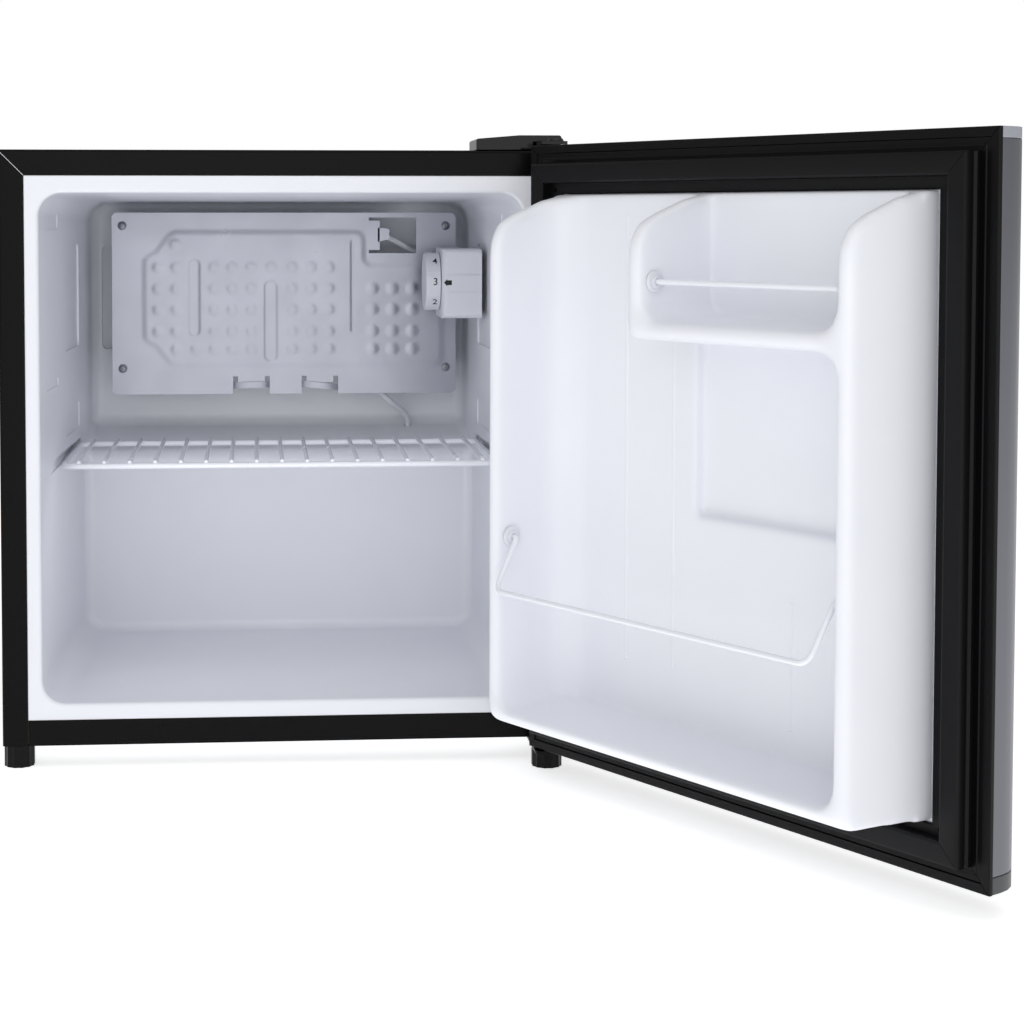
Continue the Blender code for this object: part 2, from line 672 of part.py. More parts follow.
def build_hinges():
    across = (HALF - 26 * MM, HALF - 0.5 * MM)
    low = FOOT_HEIGHT - GAP - 2.4 * MM
    bracket = add_part(
        "lower_hinge_bracket",
        bevelled(
            box((across[0], PIVOT.y - 13 * MM, low), (across[1], 40 * MM, FOOT_HEIGHT - GAP)),
            4 * MM,
            2,
            along_z,
        ),
        "black_steel",
    )
    cut(
        bracket,
        cylinder(PIVOT.xy, PIN_RADIUS + GAP, "Z", 0, DOOR_BOTTOM, 16),
        cylinder(RIGHT_FOOT, FOOT_STEM + 2 * GAP, "Z", 0, DOOR_BOTTOM, 12),
    )
    collar_low, collar_high = FOOT_HEIGHT, DOOR_BOTTOM - GAP
    pin = [
        (0, DOOR_BOTTOM + 12 * MM),
        (PIN_RADIUS - MM, DOOR_BOTTOM + 12 * MM),
        (PIN_RADIUS, DOOR_BOTTOM + 11 * MM),
        (PIN_RADIUS, collar_high),
        (BUSH_RADIUS, collar_high),
        (BUSH_RADIUS, collar_low),
        (PIN_RADIUS, collar_low),
        (PIN_RADIUS, low),
        (0, low),
    ]
    turned("lower_hinge_pin", pin, PIVOT.xy, "zinc")

    base = TOP + GAP
    arm = [
        (45 * MM, base),
        (9 * MM, base),
        (4 * MM, base + HINGE_RISE),
        (PIVOT.y - 11 * MM, base + HINGE_RISE),
    ]
    top_plate = add_part(
        "top_hinge_plate",
        prism(ribbon(arm, -HINGE_PLATE), "X", HALF - 22 * MM, HALF - 2.4 * MM),
        "zinc",
    )
    join(top_plate, box((HALF - 60 * MM, 12 * MM, base), (HALF - 20 * MM, 44 * MM, base + HINGE_PLATE)))
    head = base + HINGE_RISE + HINGE_PLATE
    cut(
        top_plate,
        cylinder(PIVOT.xy, PIN_RADIUS + GAP, "Z", base - MM, head + MM, 16),
        top_screw_holes(SCREW_SHANK * 2, base - MM, head + MM),
    )
    pin = [
        (0, head + GAP + 2 * MM),
        (BUSH_RADIUS - MM, head + GAP + 2 * MM),
        (BUSH_RADIUS, head + GAP),
        (PIN_RADIUS, head + GAP),
        (PIN_RADIUS, DOOR_TOP - 11 * MM),
        (PIN_RADIUS - MM, DOOR_TOP - 12 * MM),
        (0, DOOR_TOP - 12 * MM),
    ]
    turned("top_hinge_pin", pin, PIVOT.xy, "zinc")

    for side, place in zip(("left", "right"), TOP_SCREWS):
        seat = base + HINGE_PLATE + GAP
        profile = [
            (0, seat + 2.2 * MM),
            (3 * MM, seat + 2 * MM),
            (4.5 * MM, seat),
            (SCREW_SHANK * 1.5, seat),
            (SCREW_SHANK * 1.5, TOP - 12 * MM),
            (0, TOP - 14 * MM),
        ]
        turned(f"top_hinge_screw_{side}", profile, place, "zinc", steps=12)

    left, right, top = HALF - 68 * MM, HALF - 0.5 * MM, TOP + COVER_HEIGHT
    outline = rounded(
        [
            (left, base, 0),
            (right, base, 0),
            (right, top, 2 * MM),
            (left + 34 * MM, top, 8 * MM),
            (left, top - 2.8 * MM, 1.5 * MM),
        ],
        2,
    )
    cover = add_part("top_hinge_cover", prism(outline, "Y", 1.5 * MM, 56 * MM), "black_plastic")
    inside = offset(
        [(left, base), (right, base), (right, top), (left + 34 * MM, top), (left, top - 2.8 * MM)],
        -1.5 * MM,
    )
    inside[0] = (inside[0][0], base - MM)
    inside[1] = (inside[1][0], base - MM)
    cut(
        cover,
        prism(inside, "Y", 3 * MM, 54.5 * MM),
        box((HALF - 23 * MM, 0, base - MM), (HALF, 12 * MM, head + 2 * GAP)),
    )


# ---------------------------------------------------------------- inside the cabinet


def build_shelf():
    x, y0, y1 = SHELF_HALF, SHELF_FRONT, SHELF_FRONT + SHELF_DEPTH
    corner = 12 * MM
    loop = rounded([(-x, y0, corner), (x, y0, corner), (x, y1, corner), (-x, y1, corner)], 4)
    rail = add_tube(
        "wire_shelf",
        [(a, b, SHELF_HEIGHT) for a, b in loop],
        SHELF_RAIL,
        "white_wire",
        "shelf_slide_axis",
        cyclic=True,
    )
    shelf = as_mesh(rail)
    level = SHELF_HEIGHT + SHELF_RAIL + SHELF_WIRE - 0.5 * MM
    side = int((x - corner) / SHELF_PITCH)  # wires on each side of the middle one
    wires = [
        cylinder((i * SHELF_PITCH, level), SHELF_WIRE, "Y", y0 - MM, y1 + MM, 8)
        for i in range(-side, side + 1)
    ]
    join(shelf, together(*wires))


def plate_corners():
    """The evaporator plate's four screw centres."""
    return [
        (x, z)
        for z in (PLATE_TOP - SCREW_END, PLATE_BOTTOM + SCREW_END * 2)
        for x in (PLATE_LEFT + SCREW_SIDE, PLATE_RIGHT - SCREW_SIDE)
    ]


def raised_area():
    """Left, right, low and high edges of the stamped panel, and the window area's left and low edges."""
    left, right = PLATE_LEFT + 29.5 * MM, PLATE_RIGHT - 13 * MM
    low, high = PLATE_BOTTOM + 27 * MM, PLATE_TOP - 17.9 * MM
    return left, right, low, high, PLATE_RIGHT - 86 * MM, PLATE_TOP - 49 * MM


def raised_panel():
    """The stamped part of the evaporator plate: a panel with its two left corners drawn in."""
    left, right, low, high, window_left, window_low = raised_area()
    inset = 25 * MM
    drop = min(23 * MM, (high - low) / 2 - 10 * MM)
    outline = rounded(
        [
            (left, low + drop, 6 * MM),
            (left + inset, low, 12 * MM),
            (right, low, 4 * MM),
            (right, window_low, 4 * MM),
            (window_left, window_low, 4 * MM),
            (window_left, high, 8 * MM),
            (left + inset, high, 12 * MM),
            (left, high - drop, 6 * MM),
        ],
        3,
    )
    return prism(outline, "Y", PLATE_FRONT - EMBOSS_RISE, PLATE_FRONT + PLATE_SHEET / 2)


def dimples():
    """The round bosses stamped in the raised panel, in columns with plain strips between them."""
    across, up = DIMPLE_PITCH
    left, right, low, high, window_left, window_low = raised_area()
    rim = DIMPLE_RADIUS + 2 * MM
    columns = (
        (0, (1, 2, 3, 4)),
        (1, (0, 1, 2, 3, 4, 5)),
        (2, (0,)),
        (3, (0, 1, 2, 3, 4)),
        (4, (0, 1, 2, 3, 4)),
        (5, (0, 1, 2, 3, 4)),
        (6, (4,)),
        (7.1, (0, 1, 2, 3, 4)),
        (8.1, (0, 1, 2, 3, 4)),
        (9.1, (0, 1, 2, 3, 4)),
        (11.4, (0, 1, 2, 3)),
        (12.4, (0, 1, 2, 3)),
        (13.4, (0, 1, 2, 3)),
    )
    face = PLATE_FRONT - EMBOSS_RISE
    bosses = []
    for column, rows in columns:
        x = left + 12.7 * MM + column * across
        ceiling = window_low if x > window_left - rim else high
        levels = [low + 11.1 * MM + row * up for row in rows]
        bosses += [
            cylinder(
                (x, z), DIMPLE_RADIUS - 1.5 * MM, "Y", face - EMBOSS_RISE, face + MM / 2, 12, DIMPLE_RADIUS
            )
            for z in levels
            if z < ceiling - rim and x < right - rim
        ]
    return bosses


def build_evaporator():
    corner = 5 * MM
    outline = rounded(
        [
            (PLATE_LEFT, PLATE_BOTTOM, corner),
            (PLATE_RIGHT, PLATE_BOTTOM, corner),
            (PLATE_RIGHT, PLATE_TOP, corner),
            (PLATE_LEFT, PLATE_TOP, corner),
        ],
        3,
    )
    plate = add_part("evaporator_plate", prism(outline, "Y", PLATE_FRONT, PLATE_BACK), "aluminium")
    inside, outside = PLATE_FRONT - 2 * MM, PLATE_BACK + MM
    join(plate, raised_panel(), together(*dimples()))
    right, top = PLATE_RIGHT - 37 * MM, PLATE_TOP - 4.4 * MM
    window = box((right - 34 * MM, inside, top - 33.2 * MM), (right, outside, top))
    slots = [
        box((right - 44 * MM, inside, z), (right - MM, outside, z + 3 * MM))
        for z in (top - 3.7 * MM, top - 33.2 * MM)
    ]
    holes = [cylinder(p, SCREW_SHANK + GAP, "Y", inside, outside, 12) for p in plate_corners()]
    cut(plate, window, together(*slots), together(*holes))

    middle = (PLATE_LEFT + PLATE_RIGHT) / 2
    for left in (middle - 48.3 * MM, middle + 15.5 * MM):
        end = left + STRAP_WIDTH
        cut(plate, box((left, inside, PLATE_BOTTOM - MM), (end, outside, PLATE_BOTTOM + 12 * MM)))
        square = 4.6 * MM
        corners = [
            box((x, inside, PLATE_BOTTOM + 11 * MM), (x + square, outside, PLATE_BOTTOM + 16.4 * MM))
            for x in (left, end - square)
        ]
        cut(plate, together(*corners))
        bowed = [
            (left - MM, PLATE_FRONT),
            (left + 8 * MM, PLATE_FRONT - STRAP_BOW),
            (end - 8 * MM, PLATE_FRONT - STRAP_BOW),
            (end + MM, PLATE_FRONT),
        ]
        strap = prism(ribbon(bowed, PLATE_SHEET), "Z", PLATE_BOTTOM + 5.5 * MM, PLATE_BOTTOM + 11.2 * MM)
        join(plate, strap)

    names = ("top_left", "top_right", "bottom_left", "bottom_right")
    for name, (x, z) in zip(names, plate_corners()):
        face = PLATE_FRONT - GAP
        screw = add_part(
            f"plate_screw_{name}",
            cylinder((x, z), SCREW_HEAD - MM, "Y", face - 2 * MM, face, 16, SCREW_HEAD),
            "zinc",
        )
        join(screw, cylinder((x, z), SCREW_SHANK, "Y", face - MM, PLATE_BACK + 12 * MM, 12))
        arm, slot = 2.2 * MM, 0.45 * MM
        cross = box((x - arm, face - 3 * MM, z - slot), (x + arm, face - MM, z + slot))
        cut(screw, cross, box((x - slot, face - 3 * MM, z - arm), (x + slot, face - MM, z + arm)))
        post = add_part(
            f"plate_post_{name}",
            cylinder((x, z), POST_RADIUS, "Y", PLATE_BACK + GAP, UPPER_DEPTH - GAP, 12),
            "white_plastic",
        )
        cut(post, cylinder((x, z), SCREW_SHANK + GAP, "Y", PLATE_BACK, PLATE_BACK + 14 * MM, 12))


def build_thermostat():
    x, y, z = DIAL_CENTRE
    near, far = y - HOUSING_DEPTH / 2, y + HOUSING_DEPTH / 2
    housing = add_part(
        "thermostat_housing",
        bevelled(
            box((HOUSING_LEFT, near, HOUSING_BOTTOM), (HOUSING_RIGHT, far, HOUSING_TOP)),
            5 * MM,
            2,
            lambda a, b: min(a.x, b.x) < HOUSING_RIGHT - MM and a.y < far - MM and b.y < far - MM,
        ),
        "white_plastic",
    )
    wall = HOUSING_WALL
    cut(
        housing,
        box(
            (HOUSING_LEFT + wall, near + wall, HOUSING_BOTTOM + wall),
            (HOUSING_RIGHT + wall, far - wall, HOUSING_TOP - wall),
        ),
        cylinder((y, z), SHAFT_RADIUS + MM, "X", HOUSING_LEFT - MM, HOUSING_LEFT + 2 * wall, 16),
        cylinder(
            (SENSOR_ENTRY[0], SENSOR_ENTRY[2]), TUBE_RADIUS + 2 * GAP, "Y", far - 2 * wall, far + MM, 12
        ),
    )
    switch = box(
        (HOUSING_LEFT + 7.3 * MM, near + 10 * MM, z - 20 * MM),
        (HOUSING_RIGHT - 6 * MM, far - 13 * MM, z + 20 * MM),
    )
    add_part("thermostat_switch", bevelled(switch, 2 * MM, 1), "galvanised")

    left = x - DIAL_WIDTH / 2
    dial = add_part(
        "thermostat_dial",
        bevelled(
            cylinder((y, z), DIAL_RADIUS, "X", left, left + DIAL_WIDTH, 40),
            MM,
            1,
            lambda a, b: abs(a.x - b.x) < GAP,
        ),
        "white_plastic",
        "dial_axis",
    )
    cut(dial, cylinder((y, z), SHAFT_RADIUS + GAP, "X", left + 2 * MM, left + 2 * DIAL_WIDTH, 16))
    shaft = cylinder((y, z), SHAFT_RADIUS, "X", left + 2 * MM + GAP, HOUSING_LEFT + 7 * MM, 16)
    add_part("dial_shaft", shaft, "zinc", "dial_axis")

    ex, ey, ez = SENSOR_ENTRY
    bends = (
        (-113, 52, 19),
        (-84, 46, 27),
        (-64, 40, 26),
        (-46, 42, 16),
        (-28, 48, 6),
        (-8, 50, 1),
        (3, 40, 0),
        (3, 18, 0),
        (0, 0, 0),
        (0, -12, 0),
    )
    sensor = [(ex + a * MM, ey + b * MM, ez + c * MM) for a, b, c in bends]
    add_tube("sensing_tube", smooth_route(sensor), TUBE_RADIUS, "white_plastic")


# ---------------------------------------------------------------- refrigeration


def build_compressor():
    floor = FOOT_HEIGHT + BASE_SHEET
    base = add_part(
        "compressor_base",
        box(
            (-INSIDE_HALF, COMPARTMENT_FRONT, FOOT_HEIGHT),
            (INSIDE_HALF, CABINET_DEPTH - GAP, floor),
        ),
        "galvanised",
    )
    cx, cy = COMPRESSOR_CENTRE
    length, width, height = COMPRESSOR_SIZE
    corners = [(cx + i * length * 0.42, cy + j * width * 0.33) for i in (-1, 1) for j in (-1, 1)]
    stud = 3 * MM
    plate_low = floor + GROMMET_HEIGHT + 2 * GAP
    studs = [cylinder(c, stud, "Z", FOOT_HEIGHT + MM, plate_low + 8 * MM, 12) for c in corners]
    join(base, together(*studs))
    tab = GLAND_CENTRE[1]
    join(
        base,
        box(
            (GLAND_CENTRE[0] - 15 * MM, tab - MM, FOOT_HEIGHT + MM),
            (GLAND_CENTRE[0] + 15 * MM, tab + MM, GLAND_CENTRE[2] + 13 * MM),
        ),
    )
    gland_across = (GLAND_CENTRE[0], GLAND_CENTRE[2])
    cut(base, cylinder(gland_across, 7.6 * MM, "Y", tab - 4 * MM, tab + 4 * MM, 16))
    gland = add_part(
        "cord_gland", cylinder(gland_across, 7.2 * MM, "Y", tab - 5 * MM, tab + 9 * MM, 16), "black_rubber"
    )
    join(gland, cylinder(gland_across, 9.5 * MM, "Y", tab + MM + GAP, tab + 4 * MM, 16))
    cut(gland, cylinder(gland_across, 4 * MM, "Y", tab - 6 * MM, tab + 10 * MM, 12))

    names = ("front_left", "rear_left", "front_right", "rear_right")
    for name, centre in zip(names, corners):
        bottom, top = floor + GAP, floor + GAP + GROMMET_HEIGHT
        profile = [
            (stud + GAP, top),
            (7 * MM, top),
            (9 * MM, (bottom + top) / 2),
            (9 * MM, bottom),
            (stud + GAP, bottom),
            (stud + GAP, top),
        ]
        turned(f"compressor_grommet_{name}", profile, centre, "black_rubber", steps=12)

    body = bmesh.new()
    bmesh.ops.create_uvsphere(body, u_segments=20, v_segments=12, radius=1)
    middle = plate_low + height / 2
    for vert in body.verts:
        squared = Vector([math.copysign(abs(c) ** 0.75, c) for c in vert.co])
        vert.co = Vector((cx, cy, middle)) + squared * Vector((length / 2, width / 2, height / 2))
    compressor = add_part("compressor", body, "black_steel", smooth=50)
    plate = bevelled(
        box(
            (cx - length / 2, cy - width * 0.45, plate_low),
            (cx + length / 2, cy + width * 0.45, plate_low + 3 * MM),
        ),
        8 * MM,
        2,
        along_z,
    )
    seam = [
        (cx + (length / 2 + 2 * MM) * math.cos(t), cy + (width / 2 - 3 * MM) * math.sin(t))
        for t in [2 * math.pi * i / 24 for i in range(24)]
    ]
    stubs = together(
        cylinder(STUB_SUCTION[1:], 3.5 * MM, "X", cx, STUB_SUCTION[0], 12),
        cylinder(STUB_DISCHARGE[1:], 3.5 * MM, "X", STUB_DISCHARGE[0], cx, 12),
    )
    join(compressor, plate, prism(seam, "Z", middle - 2 * MM, middle + 2 * MM), stubs)
    holes = [cylinder(c, stud + 2 * GAP, "Z", floor, plate_low + 10 * MM, 12) for c in corners]
    cut(compressor, together(*holes))

    left = cx - length / 2
    relay = box((left - 36 * MM, cy - 22 * MM, 45 * MM), (left - 3 * MM, cy + 20 * MM, 92 * MM))
    add_part("relay_cover", bevelled(relay, 4 * MM, 2), "black_plastic")

    x, y, z = DRIER_CENTRE
    tall, radius = 66 * MM, 9 * MM
    profile = [
        (0, z + tall / 2),
        (3.5 * MM, z + tall / 2),
        (4 * MM, z + tall / 2 - 6 * MM),
        (radius, z + tall / 2 - 12 * MM),
        (radius, z - tall / 2 + 10 * MM),
        (2 * MM, z - tall / 2),
        (0, z - tall / 2),
    ]
    turned("filter_drier", profile, (x, y), "copper", steps=14)

    dx, dy = SUCTION_DROP
    suction = [
        (dx - 46 * MM, dy - 31 * MM, 288 * MM),
        (dx - 32 * MM, dy - 33 * MM, 272 * MM),
        (dx - 18 * MM, dy - 27 * MM, 258 * MM),
        (dx - 6 * MM, dy - 12 * MM, 248 * MM),
        (dx - 0.3 * MM, dy - MM, 239 * MM),
        (dx, dy, 228 * MM),
        (dx, dy, 200 * MM),
        (dx, dy, 160 * MM),
        (SUCTION_DROP[0] + 6 * MM, SUCTION_DROP[1] + 6 * MM, STUB_SUCTION[2] + 16 * MM),
        (STUB_SUCTION[0] + 14 * MM, STUB_SUCTION[1] - 3 * MM, STUB_SUCTION[2] + 2 * MM),
        (STUB_SUCTION[0] + 6 * MM, STUB_SUCTION[1], STUB_SUCTION[2]),
        (STUB_SUCTION[0] + GAP, STUB_SUCTION[1], STUB_SUCTION[2]),
    ]
    add_tube("suction_tube", smooth_route(suction), TUBE_RADIUS, "white_plastic")


def build_condenser():
    depth = CABINET_DEPTH + CONDENSER_STANDOFF
    high = TOP - 28 * MM
    passes = 2 * int((high - CONDENSER_LOW) / (2 * CONDENSER_PITCH) + 1)
    riser = -CONDENSER_HALF - 20 * MM
    sx, sy, sz = STUB_DISCHARGE
    dx, dy, dz = DRIER_CENTRE
    corners = [
        (sx - GAP, sy, sz),
        (sx - 18 * MM, sy, sz),
        (sx - 18 * MM, sy, 152 * MM),
        (riser, depth, 165 * MM),
        (riser, depth, high),
    ]
    for i in range(passes):
        level = high - i * CONDENSER_PITCH
        ends = (-CONDENSER_HALF, CONDENSER_HALF) if i % 2 == 0 else (CONDENSER_HALF, -CONDENSER_HALF)
        corners += [(end, depth, level) for end in (ends if i else ends[1:])]
    corners += [(dx, depth, high - passes * CONDENSER_PITCH + 8 * MM)]
    corners += [(dx, dy, dz + 52 * MM), (dx, dy, dz + 33 * MM + GAP)]
    corners[-4] = (dx, depth, corners[-4][2])
    route = rounded_route(corners, 10 * MM, 3)
    tube = add_tube("condenser", route, CONDENSER_TUBE, "black_steel", resolution=2)
    condenser = as_mesh(tube)
    wire = 1 * MM
    low = high - (passes - 1) * CONDENSER_PITCH
    pitch = 2 * (CONDENSER_HALF - 30 * MM) / (CONDENSER_WIRES - 1)
    outer = depth + CONDENSER_TUBE + 0.6 * wire
    wires = [
        cylinder((30 * MM - CONDENSER_HALF + i * pitch, outer), wire, "Z", low - 8 * MM, high + 8 * MM, 6)
        for i in range(CONDENSER_WIRES)
    ]
    straps = [
        box((x - 5 * MM, CABINET_DEPTH + GAP, low - 6 * MM), (x + 5 * MM, depth - MM, high + 6 * MM))
        for x in (-CONDENSER_HALF + 22 * MM, CONDENSER_HALF - 22 * MM)
    ]
    join(condenser, together(*wires), together(*straps))


# ---------------------------------------------------------------- door


def door_outline(inset=0.0, back=0.0):
    """The door's plan without its frame: square at the back, with its two outer edges rounded."""
    x, face, front = HALF - inset, FRAME_FACE - back, DOOR_FRONT + inset
    radius = DOOR_RADIUS - inset
    corners = [(x, face, 0), (-x, face, 0), (-x, front, radius), (x, front, radius)]
    return rounded(corners, 6)


def skin_path():
    """The outer skin's outer face, from the hinge side round the front to the free side."""
    outline = door_outline(0, FRAME_SHEET + GAP)
    return [outline[0], *reversed(outline[2:]), outline[1]]


def build_door_shell():
    low, high = DOOR_BOTTOM + BOTTOM_CAP + GAP, DOOR_TOP - TOP_CAP - GAP
    skin = prism(ribbon(list(reversed(skin_path())), SHEET), "Z", low, high)
    add_part("door_skin", skin, "silver_steel", "door_hinge_axis", smooth=30)

    back = FRAME_SHEET + GAP
    plug = SHEET + 2 * GAP
    ends = (
        ("door_top_cap", (high + GAP, DOOR_TOP), (high + GAP - CAP_PLUG, high + MM)),
        ("door_bottom_cap", (DOOR_BOTTOM, low - GAP), (low - MM, low - GAP + CAP_PLUG)),
    )
    for name, rim, inner in ends:
        shape = prism(door_outline(0, back), "Z", *rim)
        cap = add_part(name, shape, "grey_plastic", "door_hinge_axis", smooth=30)
        join(cap, prism(door_outline(plug, back), "Z", *inner))
        cut(cap, cylinder(PIVOT.xy, BUSH_RADIUS + GAP, "Z", rim[0] - 20 * MM, rim[1] + 20 * MM, 20))

    bushes = (
        ("top_hinge_bush", DOOR_TOP - TOP_CAP - CAP_PLUG + GAP, DOOR_TOP - GAP),
        ("bottom_hinge_bush", DOOR_BOTTOM + GAP, DOOR_BOTTOM + BOTTOM_CAP + CAP_PLUG - GAP),
    )
    for name, bottom, top in bushes:
        profile = [
            (BUSH_BORE, top),
            (BUSH_RADIUS, top),
            (BUSH_RADIUS, bottom),
            (BUSH_BORE, bottom),
            (BUSH_BORE, top),
        ]
        turned(name, profile, PIVOT.xy, "white_plastic", "door_hinge_axis", steps=20)

    section = [
        (0, -FRAME_SHEET),
        (FRAME_RING, -FRAME_SHEET),
        (FRAME_RING, -RING_SINK),
        (6 * MM, -RING_SINK),
        (6 * MM, 0),
        (0, 0),
    ]
    ring = picture_frame(HALF, DOOR_BOTTOM, DOOR_TOP, section)
    add_part("door_frame", ring, "black_plastic", "door_hinge_axis")

    outline = door_outline(SHEET + GAP, FRAME_SHEET + GAP)
    slab = prism(outline, "Z", low - GAP + CAP_PLUG + GAP, high + GAP - CAP_PLUG - GAP)
    foam = add_part("door_foam", slab, "foam", "door_hinge_axis")
    wall = LINER_WALL + GAP
    x = BAY_HALF + DIKE_WIDTH - wall
    level = FRAME_FACE + PANEL_DEPTH - wall
    block = box((-x, FRAME_FACE - 8 * MM, LINER_LOW + 6 * MM), (x, level, LINER_HIGH - 6 * MM))
    join(foam, block)
    cut(foam, recess_box(wall))


def recess_box(grow):
    """The sunk area of the panel under the upper shelf."""
    return box(
        (-BAY_HALF - grow, FRAME_FACE + PANEL_DEPTH - RECESS_SINK - grow, RECESS_LOW - grow),
        (SHELF_WALL[1] + grow, FRAME_FACE + DIKE_DEPTH / 2, DOOR_BOTTOM + SHELF_UNDERSIDE + grow),
    )


def liner_profile():
    """The door liner seen from the side, as (y, z): a sloping floor, a flat front, a top that falls away."""
    f = FRAME_FACE
    return [
        (SEAT + MM, LINER_LOW),
        (f + DIKE_DEPTH - 8 * MM, LINER_LOW + 4 * MM),
        (f + DIKE_DEPTH, LINER_LOW + 12 * MM),
        (f + DIKE_DEPTH, LINER_HIGH - 42 * MM),
        (f + DIKE_DEPTH - 2.5 * MM, LINER_HIGH - 30 * MM),
        (f + DIKE_DEPTH - 10 * MM, LINER_HIGH - 20 * MM),
        (f + DIKE_DEPTH - 20 * MM, LINER_HIGH - 14 * MM),
        (f + PANEL_DEPTH - 4 * MM, LINER_HIGH),
        (SEAT + MM, LINER_HIGH),
    ]


def rod_points(x_values, depth, height):
    return [(x, FRAME_FACE + depth, height) for x in x_values]


def build_door_liner():
    f = FRAME_FACE
    base_half = BAY_HALF + DIKE_WIDTH + DIKE_DRAFT
    body = prism(liner_profile(), "X", -1, 1)
    for vert in body.verts:
        vert.co.x = math.copysign(base_half - DIKE_DRAFT * (vert.co.y - f) / DIKE_DEPTH, vert.co.x)
    liner = add_part("door_liner", body, "white_plastic", "door_hinge_axis", smooth=40)

    inset = GASKET_INSET + GASKET_BULB + GAP
    flange = box(
        (inset - HALF, SEAT, DOOR_BOTTOM + inset),
        (HALF - inset, SEAT + LINER_WALL, DOOR_TOP - inset),
    )
    join(liner, flange)

    floor = LINER_LOW + BAY_FLOOR
    under = DOOR_BOTTOM + SHELF_UNDERSIDE
    over = DOOR_TOP + 20 * MM
    bay = rounded(
        [
            (-BAY_HALF, floor, 12 * MM),
            (BAY_HALF, floor, 12 * MM),
            (BAY_HALF, over, 0),
            (SHELF_WALL[1], over, 0),
            (SHELF_WALL[1], under, 5 * MM),
            (-BAY_HALF, under, 14 * MM),
        ]
    )
    shelf_space = rounded(
        [
            (-BAY_HALF, under + SHELF_THICKNESS, 15 * MM),
            (SHELF_WALL[0], under + SHELF_THICKNESS, 15 * MM),
            (SHELF_WALL[0], over, 0),
            (-BAY_HALF, over, 0),
        ]
    )
    panel, out = f + PANEL_DEPTH, f + 2 * DIKE_DEPTH
    cut(liner, prism(bay, "Y", panel, out), prism(shelf_space, "Y", panel, out), recess_box(0))

    # The hollows behind the dikes, the shelf and the panel, open towards the foam
    wall = LINER_WALL
    inner = offset(liner_profile(), -wall)
    for i in (0, -1):
        inner[i] = (f - 5 * MM, inner[i][1])
    inner[-2] = (f + PANEL_DEPTH - 4 * MM, LINER_HIGH - wall - MM)
    above_shelf = [(inner[0][0], under + wall), (inner[3][0], under + wall), *inner[3:]]
    spans = (
        (inner, -base_half + wall + DIKE_DRAFT, -BAY_HALF - wall),
        (inner, BAY_HALF + wall, base_half - wall - DIKE_DRAFT),
        (above_shelf, SHELF_WALL[0] + wall, SHELF_WALL[1] - wall),
    )
    cut(liner, together(*[prism(outline, "X", left, right) for outline, left, right in spans]))
    slabs = (
        (under + wall, under + SHELF_THICKNESS - wall, SHELF_WALL[1] - wall - MM, DIKE_DEPTH - wall),
        (LINER_LOW + wall + 4 * MM, floor - wall, BAY_HALF + wall + MM, DIKE_DEPTH - 10 * MM),
    )
    for bottom, top, right, depth in slabs:
        cut(liner, box((-BAY_HALF - wall - MM, f - 5 * MM, bottom), (right, f + depth, top)))
    side, bottom, top = BAY_HALF + wall + MM, LINER_LOW + 2 * wall, LINER_HIGH - 2 * wall
    inside = (-side, f - 5 * MM, bottom), (side, panel - RECESS_SINK - wall, top)
    around_recess = [
        (-side, bottom),
        (side, bottom),
        (side, top),
        (-side, top),
        (-side, under + wall),
        (SHELF_WALL[1] + wall, under + wall),
        (SHELF_WALL[1] + wall, RECESS_LOW - wall),
        (-side, RECESS_LOW - wall),
    ]
    cut(liner, box(*inside), prism(around_recess, "Y", f - 5 * MM, panel - wall))

    hole = GROMMET_SPIGOT + GAP
    y = f + ROD_DEPTH
    holes = [
        cylinder((y, BAIL_PIVOT.z), hole, "X", BAY_HALF - 4 * MM, BAY_HALF + 4 * MM, 16),
        cylinder((y, BAIL_PIVOT.z), hole, "X", -BAY_HALF - 4 * MM, 4 * MM - BAY_HALF, 16),
        cylinder((y, ROD_Z), hole, "X", SHELF_WALL[0] - 4 * MM, SHELF_WALL[0] + 4 * MM, 16),
        cylinder((y, ROD_Z), hole, "X", -BAY_HALF - 4 * MM, 4 * MM - BAY_HALF, 16),
    ]
    cut(liner, together(*holes))


def grommet(name, wall_x, into, height):
    """A rod's socket: a flange on the wall's face and a spigot through the wall."""
    y = FRAME_FACE + ROD_DEPTH
    face = wall_x - into * GAP
    flange = sorted((face, face - into * 3 * MM))
    spigot = sorted((face - into * MM, face + into * 6 * MM))
    made = add_part(
        name,
        cylinder((y, height), 7.5 * MM, "X", *flange, 20),
        "white_plastic",
        "door_hinge_axis",
        smooth=40,
    )
    join(made, cylinder((y, height), GROMMET_SPIGOT, "X", *spigot, 16))
    bore = sorted((face - into * 5 * MM, face + into * 8 * MM))
    cut(made, cylinder((y, height), ROD_RADIUS + 1.5 * GAP, "X", *bore, 12))


